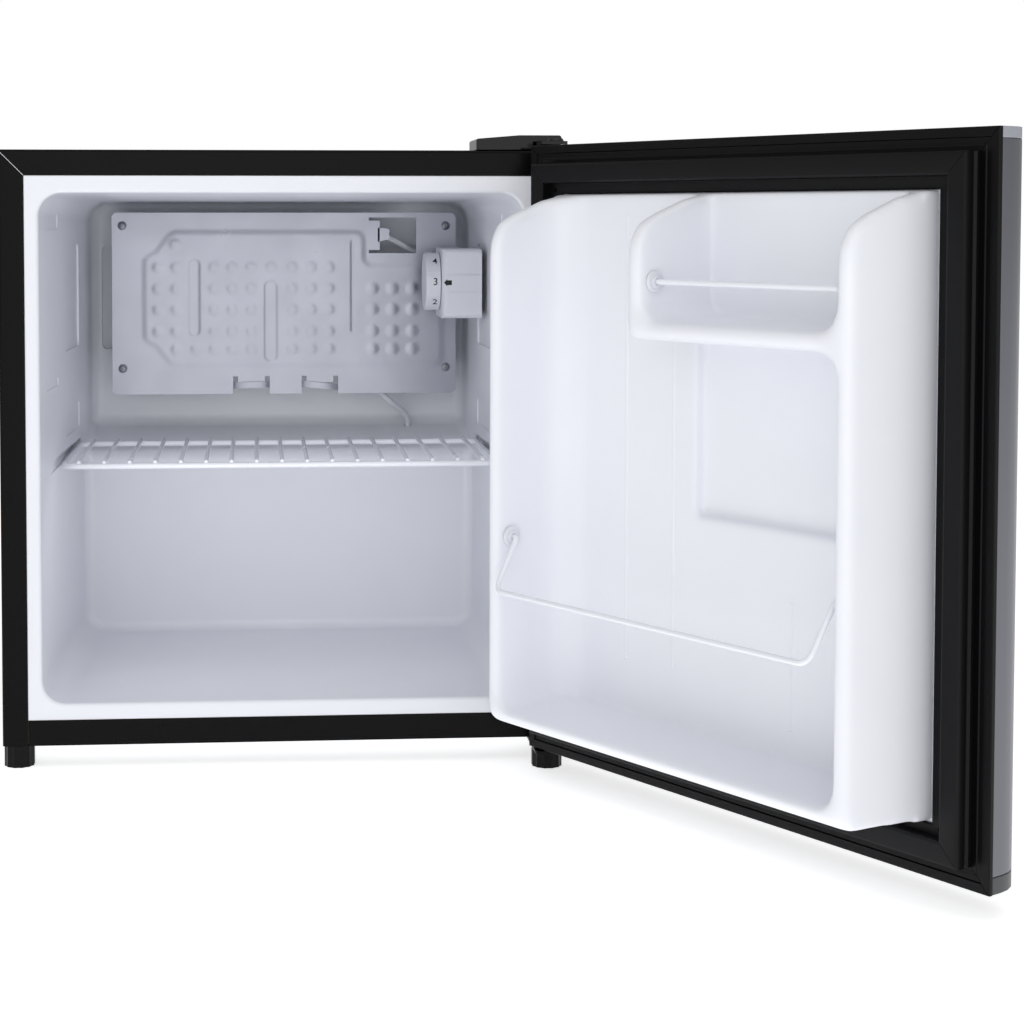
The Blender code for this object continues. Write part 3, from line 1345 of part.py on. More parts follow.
def build_rods():
    grommet("bail_grommet_hinge_side", BAY_HALF, 1, BAIL_PIVOT.z)
    grommet("bail_grommet_free_side", -BAY_HALF, -1, BAIL_PIVOT.z)
    grommet("rod_grommet_hinge_side", SHELF_WALL[0], 1, ROD_Z)
    grommet("rod_grommet_free_side", -BAY_HALF, -1, ROD_Z)

    reach = 5 * MM
    rod = rod_points((-BAY_HALF - reach, SHELF_WALL[0] + reach), ROD_DEPTH, ROD_Z)
    add_tube("shelf_rod", rod, ROD_RADIUS, "white_wire", "door_hinge_axis")

    ahead, up = BAIL_REACH
    end, arm = BAY_HALF + reach, BAY_HALF - BAIL_ARM_INSET
    pivots = rod_points((end, arm), ROD_DEPTH, BAIL_PIVOT.z)
    bar = rod_points((arm - 2 * MM, 2 * MM - arm), ROD_DEPTH + ahead, BAIL_PIVOT.z + up)
    others = rod_points((-arm, -end), ROD_DEPTH, BAIL_PIVOT.z)
    route = rounded_route([*pivots, *bar, *others], 3.8 * MM)
    add_tube("bottle_bail", route, ROD_RADIUS, "white_wire", "bail_axis")


def build_gasket():
    outer = GASKET_INSET
    inner = outer + GASKET_BULB
    web = inner + GASKET_WEB
    top = DOOR_STANDOFF - GAP
    wall = GASKET_WALL
    low = GAP - RING_SINK
    step = low + LINER_WALL + GAP
    section = [
        (outer, low),
        (outer + wall, low),
        (outer + wall, top - wall),
        (inner - wall, top - wall),
        (inner - wall, step),
        (web, step),
        (web, step + wall),
        (inner, step + wall),
        (inner, top - MM),
        (inner - MM, top),
        (outer + MM, top),
        (outer, top - MM),
    ]
    gasket = picture_frame(HALF, DOOR_BOTTOM, DOOR_TOP, section)
    add_part("door_gasket", gasket, "black_rubber", "door_hinge_axis")

    left, right = outer + wall + GAP, inner - wall - GAP
    bottom, roof = top - wall - GAP - 3 * MM, top - wall - GAP
    strip = [(left, bottom), (right, bottom), (right, roof), (left, roof)]
    magnet = picture_frame(HALF, DOOR_BOTTOM, DOOR_TOP, strip)
    add_part("magnet_strip", magnet, "magnet", "door_hinge_axis")


# ---------------------------------------------------------------- assembly


def object_bounds():
    """The lowest and highest corners of the evaluated parts."""
    bpy.context.view_layer.update()
    graph = bpy.context.evaluated_depsgraph_get()
    low, high = Vector((math.inf,) * 3), Vector((-math.inf,) * 3)
    for obj in parts.objects:
        if obj.type == "EMPTY":
            continue
        shown = obj.evaluated_get(graph)
        mesh = shown.to_mesh()
        for vert in mesh.vertices:
            place = shown.matrix_world @ vert.co
            low = Vector(map(min, low, place))
            high = Vector(map(max, high, place))
        shown.to_mesh_clear()
    return low, high


def build():
    build_casing()
    build_liner_and_foam()
    build_feet()
    build_hinges()
    build_shelf()
    build_evaporator()
    build_thermostat()
    build_compressor()
    build_condenser()
    build_door_shell()
    build_door_liner()
    build_rods()
    build_gasket()
    frames["door_hinge_axis"][0].rotation_euler.z = DOOR_OPEN
    low, high = object_bounds()
    middle = (low + high) / 2
    frames["fridge"][0].location = (-middle.x, -middle.y, -low.z)


LEFT_FOOT = (-HALF + 12 * MM, 12 * MM)
RIGHT_FOOT = (PIVOT.x - 4 * MM, PIVOT.y + 10.7 * MM)
TOP_SCREWS = ((HALF - 50 * MM, 28 * MM), (HALF - 28 * MM, 34 * MM))
SUCTION_DROP = (HALF - 97.5 * MM, UPPER_DEPTH - 10 * MM)
SENSOR_ENTRY = (DIAL_CENTRE[0] + 32 * MM, DIAL_CENTRE[1] + 42 * MM, DIAL_CENTRE[2] + 11.4 * MM)
STUB_SUCTION = (COMPRESSOR_CENTRE[0] + COMPRESSOR_SIZE[0] / 2 + 8 * MM, CABINET_DEPTH - 40 * MM, 104 * MM)
STUB_DISCHARGE = (COMPRESSOR_CENTRE[0] - COMPRESSOR_SIZE[0] / 2 - 8 * MM, CABINET_DEPTH - 28 * MM, 110 * MM)
DRIER_CENTRE = (-165 * MM, CABINET_DEPTH - 12 * MM, 105 * MM)
GLAND_CENTRE = (-120 * MM, CABINET_DEPTH - 6 * MM, 45 * MM)
GROMMET_SPIGOT = 4.5 * MM

clear_scene()
parts = new_collection("mini_fridge")
cutters = new_collection("mini_fridge_cutters")
add_frame("fridge", Vector((0, 0, 0)))
add_frame("door_hinge_axis", PIVOT, "fridge")
add_frame("bail_axis", BAIL_PIVOT, "door_hinge_axis")
add_frame("dial_axis", Vector(DIAL_CENTRE), "fridge")
add_frame("shelf_slide_axis", Vector((0, SHELF_FRONT, SHELF_HEIGHT)), "fridge")
add_frame("foot_left_axis", Vector((*LEFT_FOOT, 0)), "fridge")
add_frame("foot_right_axis", Vector((*RIGHT_FOOT, 0)), "fridge")
build()
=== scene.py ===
"""Compact one-door refrigerator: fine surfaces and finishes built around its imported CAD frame.

Every piece is drawn in millimetres, in the same drawing as the CAD: X to the right from the cabinet's
middle, Y to the back from its front plane and Z up from the floor, with the door closed. A placement
then puts the drawing into the row frame, and turns the door's pieces with the door.
"""

from __future__ import annotations

import json
import logging
import math
from collections.abc import Callable, Iterable, Sequence
from dataclasses import dataclass, field
from enum import Enum

import bmesh
import bpy
from bmesh.types import BMesh
from mathutils import Matrix, Vector

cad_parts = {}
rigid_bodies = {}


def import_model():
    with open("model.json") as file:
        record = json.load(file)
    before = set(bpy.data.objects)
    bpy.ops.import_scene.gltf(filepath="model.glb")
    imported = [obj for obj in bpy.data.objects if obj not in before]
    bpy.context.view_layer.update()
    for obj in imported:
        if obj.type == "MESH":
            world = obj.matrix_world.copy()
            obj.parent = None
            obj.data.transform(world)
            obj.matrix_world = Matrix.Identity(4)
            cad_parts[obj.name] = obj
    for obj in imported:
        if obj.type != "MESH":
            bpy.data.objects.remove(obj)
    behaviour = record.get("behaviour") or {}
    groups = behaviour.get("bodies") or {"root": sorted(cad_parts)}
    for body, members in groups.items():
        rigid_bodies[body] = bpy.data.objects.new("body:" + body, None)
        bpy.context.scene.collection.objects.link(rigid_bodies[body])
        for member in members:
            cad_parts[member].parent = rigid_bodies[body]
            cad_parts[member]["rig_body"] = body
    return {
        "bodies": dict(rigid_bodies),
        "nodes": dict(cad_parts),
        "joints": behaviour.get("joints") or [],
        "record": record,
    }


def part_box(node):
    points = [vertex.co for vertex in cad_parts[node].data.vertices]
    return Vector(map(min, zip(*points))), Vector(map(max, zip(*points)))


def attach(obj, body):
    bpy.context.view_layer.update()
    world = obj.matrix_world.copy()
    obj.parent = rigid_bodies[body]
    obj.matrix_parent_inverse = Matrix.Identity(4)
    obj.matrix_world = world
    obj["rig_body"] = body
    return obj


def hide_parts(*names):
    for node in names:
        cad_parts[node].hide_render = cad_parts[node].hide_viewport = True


log = logging.getLogger("fridge")

Point2 = tuple[float, float]
Point3 = tuple[float, float, float]
Corner = tuple[float, float, float]

MM = 0.001


# ---------------------------------------------------------------- placements


@dataclass(frozen=True)
class Placement:
    """Where a drawing in millimetres stands in the row frame, and the CAD body that carries it."""

    matrix: Matrix
    body: str


@dataclass
class Frame:
    """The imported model: its nodes, and the placements that its record and boxes give."""

    loaded: dict
    cabinet: Placement = field(init=False)
    door: Placement = field(init=False)
    bail: Placement = field(init=False)
    hinge: Vector = field(init=False)

    def __post_init__(self) -> None:
        """Works out the placements of cabinet and door from the wrapper's box and the joints."""
        low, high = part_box("outer_wrapper")
        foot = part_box("front_foot_left")[0].z
        origin = Vector(((low.x + high.x) / 2, low.y, foot))
        self.cabinet = Placement(Matrix.Translation(origin) @ Matrix.Scale(MM, 4), "cabinet")
        joints = {joint["name"]: joint for joint in self.loaded["joints"]}
        pivot = Vector(joints["door_hinge"]["pos_m"])
        across = Vector(joints["bail_pivot"]["axis"])
        turn = Matrix.Rotation(math.atan2(across.y, across.x), 4, "Z")
        self.hinge = (pivot - origin) / MM
        back = Matrix.Translation(-self.hinge)
        matrix = Matrix.Translation(pivot) @ turn @ Matrix.Scale(MM, 4) @ back
        self.door = Placement(matrix, "door")
        self.bail = Placement(matrix, "bottle_bail")

    def on(self, body: str) -> Placement:
        """The cabinet's drawing carried by another body."""
        return Placement(self.cabinet.matrix, body)


# ---------------------------------------------------------------- materials


def linear(hex_colour: str) -> tuple[float, float, float, float]:
    """Turns an sRGB hex colour into a linear one.

    Args:
        hex_colour: six hex digits.

    Returns:
        Red, green, blue and an alpha of 1.
    """
    parts = [int(hex_colour[i : i + 2], 16) / 255 for i in (0, 2, 4)]
    red, green, blue = (c / 12.92 if c <= 0.04045 else ((c + 0.055) / 1.055) ** 2.4 for c in parts)
    return red, green, blue, 1.0


def add_node(tree: bpy.types.NodeTree, kind: str, inputs: dict | None = None, **settings) -> bpy.types.Node:
    """Adds a node with its settings and links.

    Args:
        tree: the material's node tree.
        kind: Blender's name for the node's type.
        inputs: socket name or number to a value, or to the socket that it is linked from.
        **settings: attributes of the node.

    Returns:
        The new node.
    """
    made = tree.nodes.new(kind)
    for name, value in settings.items():
        setattr(made, name, value)
    for name, value in (inputs or {}).items():
        if isinstance(value, bpy.types.NodeSocket):
            tree.links.new(value, made.inputs[name])
        else:
            made.inputs[name].default_value = value
    return made


@dataclass(frozen=True)
class Finish:
    """A surface finish. Its pattern's sizes are in millimetres.

    Attributes:
        name: the material's name.
        colour: sRGB hex of the surface.
        rough: roughness.
        metal: how metallic it is.
        ior: index of refraction, the default for a metal.
        grain: width of the fine relief.
        relief: height of the fine relief.
        wave: width of the slow unevenness that a formed or painted sheet has.
        swell: height of the slow unevenness.
        mottle: how far roughness wanders.
        tint: second colour that the surface wanders to.
        coat: clear layer on top.
        shine: strength of its reflections, 0.5 for a bare smooth surface.
    """

    name: str
    colour: str
    rough: float
    metal: float = 0.0
    ior: float = 1.5
    grain: float = 0.6
    relief: float = 0.004
    wave: float = 60.0
    swell: float = 0.0
    mottle: float = 0.04
    tint: str = ""
    coat: float = 0.0
    shine: float = 0.5

    def material(self) -> bpy.types.Material:
        """Makes the material the first time it is asked for.

        Returns:
            The material of this finish.
        """
        if self.name in bpy.data.materials:
            return bpy.data.materials[self.name]
        made = bpy.data.materials.new(self.name)
        made.use_nodes = True
        tree = made.node_tree
        shader = tree.nodes["Principled BSDF"]
        shader.inputs["Metallic"].default_value = self.metal
        shader.inputs["IOR"].default_value = self.ior
        shader.inputs["Coat Weight"].default_value = self.coat
        shader.inputs["Specular IOR Level"].default_value = self.shine
        shader.inputs["Coat Roughness"].default_value = 0.08
        made.diffuse_color = linear(self.colour)
        self.dress(tree, shader)
        return made

    def dress(self, tree: bpy.types.NodeTree, shader: bpy.types.Node) -> None:
        """Gives the shader its colour, roughness and relief.

        Args:
            tree: the material's node tree.
            shader: its Principled BSDF.
        """
        place = add_node(tree, "ShaderNodeTexCoord").outputs["Object"]
        slow = self.noise(tree, place, self.wave, 2)
        fine = self.noise(tree, place, self.grain, 3)
        mix = add_node(
            tree,
            "ShaderNodeMix",
            {0: slow, 6: linear(self.colour), 7: linear(self.tint or self.colour)},
            data_type="RGBA",
        )
        tree.links.new(mix.outputs[2], shader.inputs["Base Color"])
        rough = add_node(
            tree,
            "ShaderNodeMapRange",
            {"Value": slow, "To Min": self.rough - self.mottle, "To Max": self.rough + self.mottle},
        )
        tree.links.new(rough.outputs[0], shader.inputs["Roughness"])
        relief = {"Height": fine, "Distance": self.relief * MM, "Strength": 1.0}
        bump = add_node(tree, "ShaderNodeBump", relief)
        if self.swell:
            bump = add_node(
                tree,
                "ShaderNodeBump",
                {"Height": slow, "Distance": self.swell * MM, "Strength": 1.0, "Normal": bump.outputs[0]},
            )
        tree.links.new(bump.outputs[0], shader.inputs["Normal"])

    @staticmethod
    def noise(
        tree: bpy.types.NodeTree, place: bpy.types.NodeSocket, width: float, detail: float
    ) -> bpy.types.NodeSocket:
        """Adds a noise.

        Args:
            tree: the material's node tree.
            place: the coordinates that it follows.
            width: how wide its features are, in millimetres.
            detail: how many finer octaves it has.

        Returns:
            Its value.
        """
        inputs = {"Vector": place, "Scale": 1 / (width * MM), "Detail": detail, "Roughness": 0.5}
        return add_node(tree, "ShaderNodeTexNoise", inputs).outputs[0]


@dataclass(frozen=True)
class BrushedFinish(Finish):
    """A rolled or brushed metal: its relief is drawn out along one axis."""

    along: int = 0
    stretch: float = 40.0

    def dress(self, tree: bpy.types.NodeTree, shader: bpy.types.Node) -> None:
        """Gives the shader its colour, roughness and drawn-out relief.

        Args:
            tree: the material's node tree.
            shader: its Principled BSDF.
        """
        super().dress(tree, shader)
        place = add_node(tree, "ShaderNodeTexCoord").outputs["Object"]
        scale = [1.0, 1.0, 1.0]
        scale[self.along] = 1 / self.stretch
        drawn = add_node(tree, "ShaderNodeMapping", {"Vector": place, "Scale": scale})
        lines = self.noise(tree, drawn.outputs[0], self.grain, 4)
        before = shader.inputs["Normal"].links[0].from_socket
        bump = add_node(
            tree,
            "ShaderNodeBump",
            {"Height": lines, "Distance": self.relief * 2 * MM, "Strength": 1.0, "Normal": before},
        )
        tree.links.new(bump.outputs[0], shader.inputs["Normal"])


@dataclass(frozen=True)
class SpangledFinish(Finish):
    """Hot-dip galvanised sheet: zinc crystals of slightly different grey."""

    crystal: float = 7.0
    dark: str = "8d9193"

    def dress(self, tree: bpy.types.NodeTree, shader: bpy.types.Node) -> None:
        """Gives the shader its crystals on top of the base finish.

        Args:
            tree: the material's node tree.
            shader: its Principled BSDF.
        """
        super().dress(tree, shader)
        place = add_node(tree, "ShaderNodeTexCoord").outputs["Object"]
        cells = add_node(tree, "ShaderNodeTexVoronoi", {"Vector": place, "Scale": 1 / (self.crystal * MM)})
        split = add_node(tree, "ShaderNodeSeparateColor", {0: cells.outputs["Color"]})
        mix = add_node(
            tree,
            "ShaderNodeMix",
            {0: split.outputs[0], 6: linear(self.colour), 7: linear(self.dark)},
            data_type="RGBA",
        )
        tree.links.new(mix.outputs[2], shader.inputs["Base Color"])
        rough = add_node(
            tree,
            "ShaderNodeMapRange",
            {"Value": split.outputs[1], "To Min": self.rough - 0.1, "To Max": self.rough + 0.12},
        )
        tree.links.new(rough.outputs[0], shader.inputs["Roughness"])


# Baked polyester paint on steel: a fine orange peel under a soft gloss.
CABINET_PAINT = Finish(
    "baked_black_paint", "050506", 0.27, grain=1.6, relief=0.008, tint="070708", shine=0.1
)
# Vacuum-formed polystyrene: smooth and slightly waxy, with the slow unevenness of drawn sheet.
LINER_PLASTIC = Finish(
    "formed_white_polystyrene", "eef0f6", 0.34, grain=0.9, relief=0.005, wave=45, swell=0.05, tint="ebedf4"
)
# Injection-moulded ABS.
WHITE_ABS = Finish("moulded_white_abs", "dfe1e8", 0.34, grain=0.7, relief=0.004)
# Polythene-coated wire: soft edged and a little waxy.
COATED_WIRE = Finish("white_coated_wire", "eceef5", 0.26, grain=2.0, relief=0.01)
# Polypropylene moulded in a fine-sparked tool.
BLACK_PLASTIC = Finish("moulded_black_plastic", "08080a", 0.36, grain=0.5, relief=0.006, shine=0.14)
# Extruded soft PVC.
GASKET_PVC = Finish("extruded_black_pvc", "0d0d0f", 0.42, grain=0.8, relief=0.004, shine=0.16)
# Polished ABS out of a mirror tool.
GLOSS_BLACK = Finish("polished_black_abs", "030304", 0.1, grain=3.0, relief=0.002, mottle=0.02, shine=0.3)
# Grey ABS end caps of the door. The top cap's copy is the same grey painted lighter: painted light falling on
# the door's top.
CAP_GREY = Finish("moulded_grey_abs", "3b3c40", 0.38, grain=0.6, relief=0.006)
CAP_GREY_PAINTED_LIT = Finish("moulded_grey_abs_painted_lit", "9b9da6", 0.34, grain=0.6, relief=0.006)
# Pre-painted steel with metallic flake.
SILVER_SKIN = BrushedFinish(
    "silver_prepainted_steel", "6f7076", 0.34, metal=0.75, grain=0.5, relief=0.002, along=2, mottle=0.03
)
# Rolled aluminium, stamped.
PLATE_ALUMINIUM = BrushedFinish(
    "rolled_aluminium", "9fa1ab", 0.3, metal=1.0, grain=0.6, relief=0.003, along=0, wave=30, mottle=0.06
)
# Zinc-plated steel.
ZINC = Finish("zinc_plated_steel", "c9cbd0", 0.28, metal=1.0, grain=0.5, relief=0.003, wave=12, mottle=0.08)
SCREW_ZINC = Finish(
    "dull_zinc_plate", "8f9198", 0.34, metal=1.0, grain=0.5, relief=0.004, wave=5, mottle=0.08
)
GALVANISED = SpangledFinish("galvanised_sheet", "b1b4b6", 0.38, metal=1.0, grain=1.2, relief=0.004)
# Brushed-on black enamel over castings and tube.
SYSTEM_BLACK = Finish("black_enamelled_steel", "101011", 0.4, grain=1.4, relief=0.02, wave=25, mottle=0.08)
COPPER = Finish(
    "bare_copper", "a8745a", 0.32, metal=1.0, grain=0.8, relief=0.004, wave=14, tint="8a5a44", mottle=0.1
)
RUBBER = Finish("moulded_rubber", "141414", 0.72, grain=0.7, relief=0.02)
FOAM = Finish("rigid_foam", "e0cf9c", 0.9, grain=1.0, relief=0.15, wave=12, tint="d2bd84")
MAGNET = Finish("flexible_magnet", "2a2624", 0.8, grain=0.6, relief=0.01)
INK = Finish("printed_black_ink", "0a0a0b", 0.5, grain=0.6, relief=0.002)


# ---------------------------------------------------------------- mesh tools


def block(low: Point3, high: Point3) -> BMesh:
    """A block between two opposite corners.

    Args:
        low: the corner with the smallest coordinates.
        high: the corner with the largest ones.

    Returns:
        The closed solid.
    """
    bm = bmesh.new()
    bmesh.ops.create_cube(bm, size=1)
    a, b = Vector(low), Vector(high)
    bmesh.ops.scale(bm, verts=bm.verts, vec=b - a)
    bmesh.ops.translate(bm, verts=bm.verts, vec=(a + b) / 2)
    return bm


def placed(point: Point2, axis: str, along: float) -> Point3:
    """A flat point at this distance along the axis that its plane crosses."""
    a, b = point
    return {"X": (along, a, b), "Y": (a, along, b), "Z": (a, b, along)}[axis]


def prism(outline: Sequence[Point2], axis: str, start: float, end: float) -> BMesh:
    """A flat outline drawn across an axis and extruded along it.

    Args:
        outline: points across the axis, in X, Y, Z order.
        axis: X, Y or Z.
        start: where the extrusion starts.
        end: where it ends.

    Returns:
        The closed solid.
    """
    bm = bmesh.new()
    face = bm.faces.new([bm.verts.new(placed(p, axis, start)) for p in outline])
    grown = bmesh.ops.extrude_face_region(bm, geom=[face])["geom"]
    moved = [item for item in grown if isinstance(item, bmesh.types.BMVert)]
    bmesh.ops.translate(bm, verts=moved, vec=placed((0, 0), axis, end - start))
    bmesh.ops.recalc_face_normals(bm, faces=bm.faces)
    return bm


def bar(
    centre: Point2,
    radius: float,
    axis: str,
    start: float,
    end: float,
    segments: int = 32,
    end_radius: float | None = None,
) -> BMesh:
    """A round bar or a cone along an axis.

    Args:
        centre: its centre across the axis, in X, Y, Z order.
        radius: radius where it starts.
        axis: X, Y or Z.
        start: where it starts along the axis.
        end: where it ends.
        segments: facets round it.
        end_radius: radius at its end, the same where it is left out.

    Returns:
        The closed solid.
    """
    bm = bmesh.new()
    far = radius if end_radius is None else end_radius
    bmesh.ops.create_cone(
        bm, cap_ends=True, segments=segments, radius1=radius, radius2=far, depth=end - start
    )
    turn = {"X": Matrix.Rotation(math.pi / 2, 3, "Y"), "Y": Matrix.Rotation(-math.pi / 2, 3, "X")}
    if axis in turn:
        bmesh.ops.rotate(bm, verts=bm.verts, matrix=turn[axis])
    bmesh.ops.translate(bm, verts=bm.verts, vec=placed(centre, axis, (start + end) / 2))
    return bm


def turned(profile: Sequence[Point2], centre: Point2, segments: int = 40) -> BMesh:
    """A shape turned about a vertical axis.

    Args:
        profile: (radius, height) points.
        centre: where the axis crosses the ground plane.
        segments: facets round it.

    Returns:
        The closed solid.
    """
    bm = bmesh.new()
    verts = [bm.verts.new((radius, 0, height)) for radius, height in profile]
    edges = [bm.edges.new(pair) for pair in zip(verts, verts[1:])]
    bmesh.ops.spin(
        bm,
        geom=verts + edges,
        cent=(0, 0, 0),
        axis=(0, 0, 1),
        angle=math.tau,
        steps=segments,
        use_merge=True,
    )
    bmesh.ops.remove_doubles(bm, verts=bm.verts, dist=1e-4)
    bmesh.ops.recalc_face_normals(bm, faces=bm.faces)
    bmesh.ops.translate(bm, verts=bm.verts, vec=(*centre, 0))
    return bm


def together(*shapes: BMesh) -> BMesh:
    """Puts several shapes in one bmesh.

    Args:
        *shapes: the shapes, of which all but the first are freed.

    Returns:
        The first shape with the others in it.
    """
    whole = shapes[0]
    for shape in shapes[1:]:
        mesh = bpy.data.meshes.new("joined")
        shape.to_mesh(mesh)
        shape.free()
        whole.from_mesh(mesh)
        bpy.data.meshes.remove(mesh)
    return whole


def fillet(
    bm: BMesh, radius: float, segments: int = 4, chosen: Callable[[bmesh.types.BMEdge], bool] | None = None
) -> BMesh:
    """Rounds edges.

    Args:
        bm: the shape that is changed.
        radius: width of the rounding.
        segments: facets across it.
        chosen: whether an edge is rounded; all of them are where it is left out.

    Returns:
        The same shape.
    """
    edges = [e for e in bm.edges if chosen is None or chosen(e)]
    bmesh.ops.bevel(
        bm,
        geom=edges,
        offset=radius,
        segments=segments,
        profile=0.5,
        affect="EDGES",
        clamp_overlap=True,
        material=-1,
    )
    return bm


def steep(edge: bmesh.types.BMEdge, degrees: float = 35.0) -> bool:
    """Whether an edge's two faces meet at more than this angle."""
    return len(edge.link_faces) == 2 and edge.calc_face_angle(0.0) > math.radians(degrees)


def temporary(bm: BMesh) -> bpy.types.Object:
    """Makes a throwaway object for a modifier.

    Args:
        bm: its shape, which is freed.

    Returns:
        The object, in the scene.
    """
    bmesh.ops.recalc_face_normals(bm, faces=bm.faces)
    mesh = bpy.data.meshes.new("temporary")
    bm.to_mesh(mesh)
    bm.free()
    made = bpy.data.objects.new("temporary", mesh)
    bpy.context.scene.collection.objects.link(made)
    return made


class Cut(Enum):
    """What a Boolean does with its second shape."""

    AWAY = "DIFFERENCE"
    JOIN = "UNION"
    WITHIN = "INTERSECT"


def carved(base: BMesh, *steps: tuple[Cut, BMesh]) -> BMesh:
    """Applies Booleans one after another.

    Args:
        base: the shape that is changed, which is freed.
        *steps: what is done with each further shape.

    Returns:
        The result as a new bmesh.
    """
    body = temporary(base)
    helpers = []
    for kind, shape in steps:
        helper = temporary(shape)
        helpers.append(helper)
        modifier = body.modifiers.new(kind.name, "BOOLEAN")
        modifier.operation = kind.value
        modifier.solver = "EXACT"
        modifier.object = helper
    graph = bpy.context.evaluated_depsgraph_get()
    mesh = bpy.data.meshes.new_from_object(body.evaluated_get(graph))
    result = bmesh.new()
    result.from_mesh(mesh)
    bpy.data.meshes.remove(mesh)
    for obj in [body, *helpers]:
        old = obj.data
        bpy.data.objects.remove(obj)
        bpy.data.meshes.remove(old)
    bmesh.ops.remove_doubles(result, verts=result.verts, dist=0.002)
    return result


def corner_arc(before: Vector, here: Vector, after: Vector, radius: float, steps: int) -> list[Vector]:
    """Points that round one corner of a route.

    Args:
        before: the route's point before the corner.
        here: the corner.
        after: the point after it.
        radius: radius of the rounding.
        steps: chords in the arc.

    Returns:
        The arc's points in order.
    """
    back, on = (before - here).normalized(), (after - here).normalized()
    half = back.angle(on) / 2
    reach = radius / math.tan(half)
    centre = here + (back + on).normalized() * radius / math.sin(half)
    first = (here + back * reach - centre).normalized()
    last = (here + on * reach - centre).normalized()
    return [centre + first.slerp(last, i / steps) * radius for i in range(steps + 1)]


def rounded(corners: Sequence[Corner], steps: int = 8) -> list[Point2]:
    """A closed flat outline with rounded corners.

    Args:
        corners: (x, y, radius) of each corner; a radius of 0 leaves it sharp.
        steps: chords in each arc.

    Returns:
        The outline's points.
    """
    points: list[Point2] = []
    flat = [Vector((x, y, 0)) for x, y, _ in corners]
    for i, (x, y, radius) in enumerate(corners):
        if radius:
            arc = corner_arc(flat[i - 1], flat[i], flat[(i + 1) % len(flat)], radius, steps)
            points += [(p.x, p.y) for p in arc]
        else:
            points.append((x, y))
    return points


def rounded_route(points: Sequence[Point3], radii: Sequence[float], steps: int = 8) -> list[Vector]:
    """An open route in space with rounded corners.

    Args:
        points: its ends and corners.
        radii: the radius of each inner corner.
        steps: chords in each arc.

    Returns:
        The route's points.
    """
    route = [Vector(p) for p in points]
    bent = [route[0]]
    for before, here, after, radius in zip(route, route[1:], route[2:], radii):
        bent += corner_arc(before, here, after, radius, steps)
    return [*bent, route[-1]]


def side_normals(points: Sequence[Point2], closed: bool) -> list[Vector]:
    """The outward normal of each side of an anticlockwise outline."""
    count = len(points) if closed else len(points) - 1
    sides = [Vector(points[(i + 1) % len(points)]) - Vector(points[i]) for i in range(count)]
    return [Vector((s.y, -s.x)).normalized() for s in sides]


def offset(points: Sequence[Point2], distance: float, closed: bool = True) -> list[Point2]:
    """Moves each side of an outline outwards, or to the right of an open path.

    Args:
        points: the outline, anticlockwise where it is closed.
        distance: how far its sides move.
        closed: whether its last point joins its first.

    Returns:
        The moved outline.
    """
    normals = side_normals(points, closed)
    moved = []
    for i, point in enumerate(points):
        before = normals[i - 1] if closed or i else normals[0]
        after = normals[i] if closed or i < len(normals) else normals[-1]
        shift = (before + after) * distance / (1 + before.dot(after))
        moved.append((point[0] + shift.x, point[1] + shift.y))
    return moved


def picture_frame(
    half: float,
    low: float,
    high: float,
    face: float,
    section: Sequence[Point2],
    web: float = math.inf,
    reach: tuple[float, float, float] = (0.0, 0.0, 0.0),
) -> BMesh:
    """A ring round the door with mitred corners.

    Args:
        half: half the door's width.
        low: the door's bottom edge.
        high: its top edge.
        face: the depth that the section's depths are counted from.
        section: (inset, depth) points, going round the section.
        web: points further in than this belong to the web.
        reach: how much further in the web goes at the sides, the bottom and the top.

    Returns:
        The closed ring.
    """
    bm = bmesh.new()
    loops = []
    for inset, depth in section:
        side, below, above = (inset + (r if inset > web else 0) for r in reach)
        x, y = half - side, face + depth
        corners = ((-x, low + below), (x, low + below), (x, high - above), (-x, high - above))
        loops.append([bm.verts.new((a, y, b)) for a, b in corners])
    for first, second in zip(loops, [*loops[1:], loops[0]]):
        for i in range(4):
            bm.faces.new((first[i - 1], first[i], second[i], second[i - 1]))
    bmesh.ops.recalc_face_normals(bm, faces=bm.faces)
    return bm


def diagonal(corner: Point2, inwards: Point2, insets: Point2, depths: Point2, wide: float) -> BMesh:
    """A thin bar along the diagonal of a corner in an upright rectangle.

    Args:
        corner: X and Z of the corner.
        inwards: signs of X and Z that point into the rectangle.
        insets: how far in from the corner it starts and ends.
        depths: its front and back.
        wide: half its thickness.

    Returns:
        The closed solid.
    """
    (near, far), (front, back) = insets, depths
    thin = block((near * math.sqrt(2), front, -wide), (far * math.sqrt(2), back, wide))
    bmesh.ops.rotate(thin, verts=thin.verts, matrix=Matrix.Rotation(math.radians(-45), 3, "Y"))
    bmesh.ops.scale(thin, verts=thin.verts, vec=(inwards[0], 1, inwards[1]))
    bmesh.ops.translate(thin, verts=thin.verts, vec=(corner[0], 0, corner[1]))
    return thin


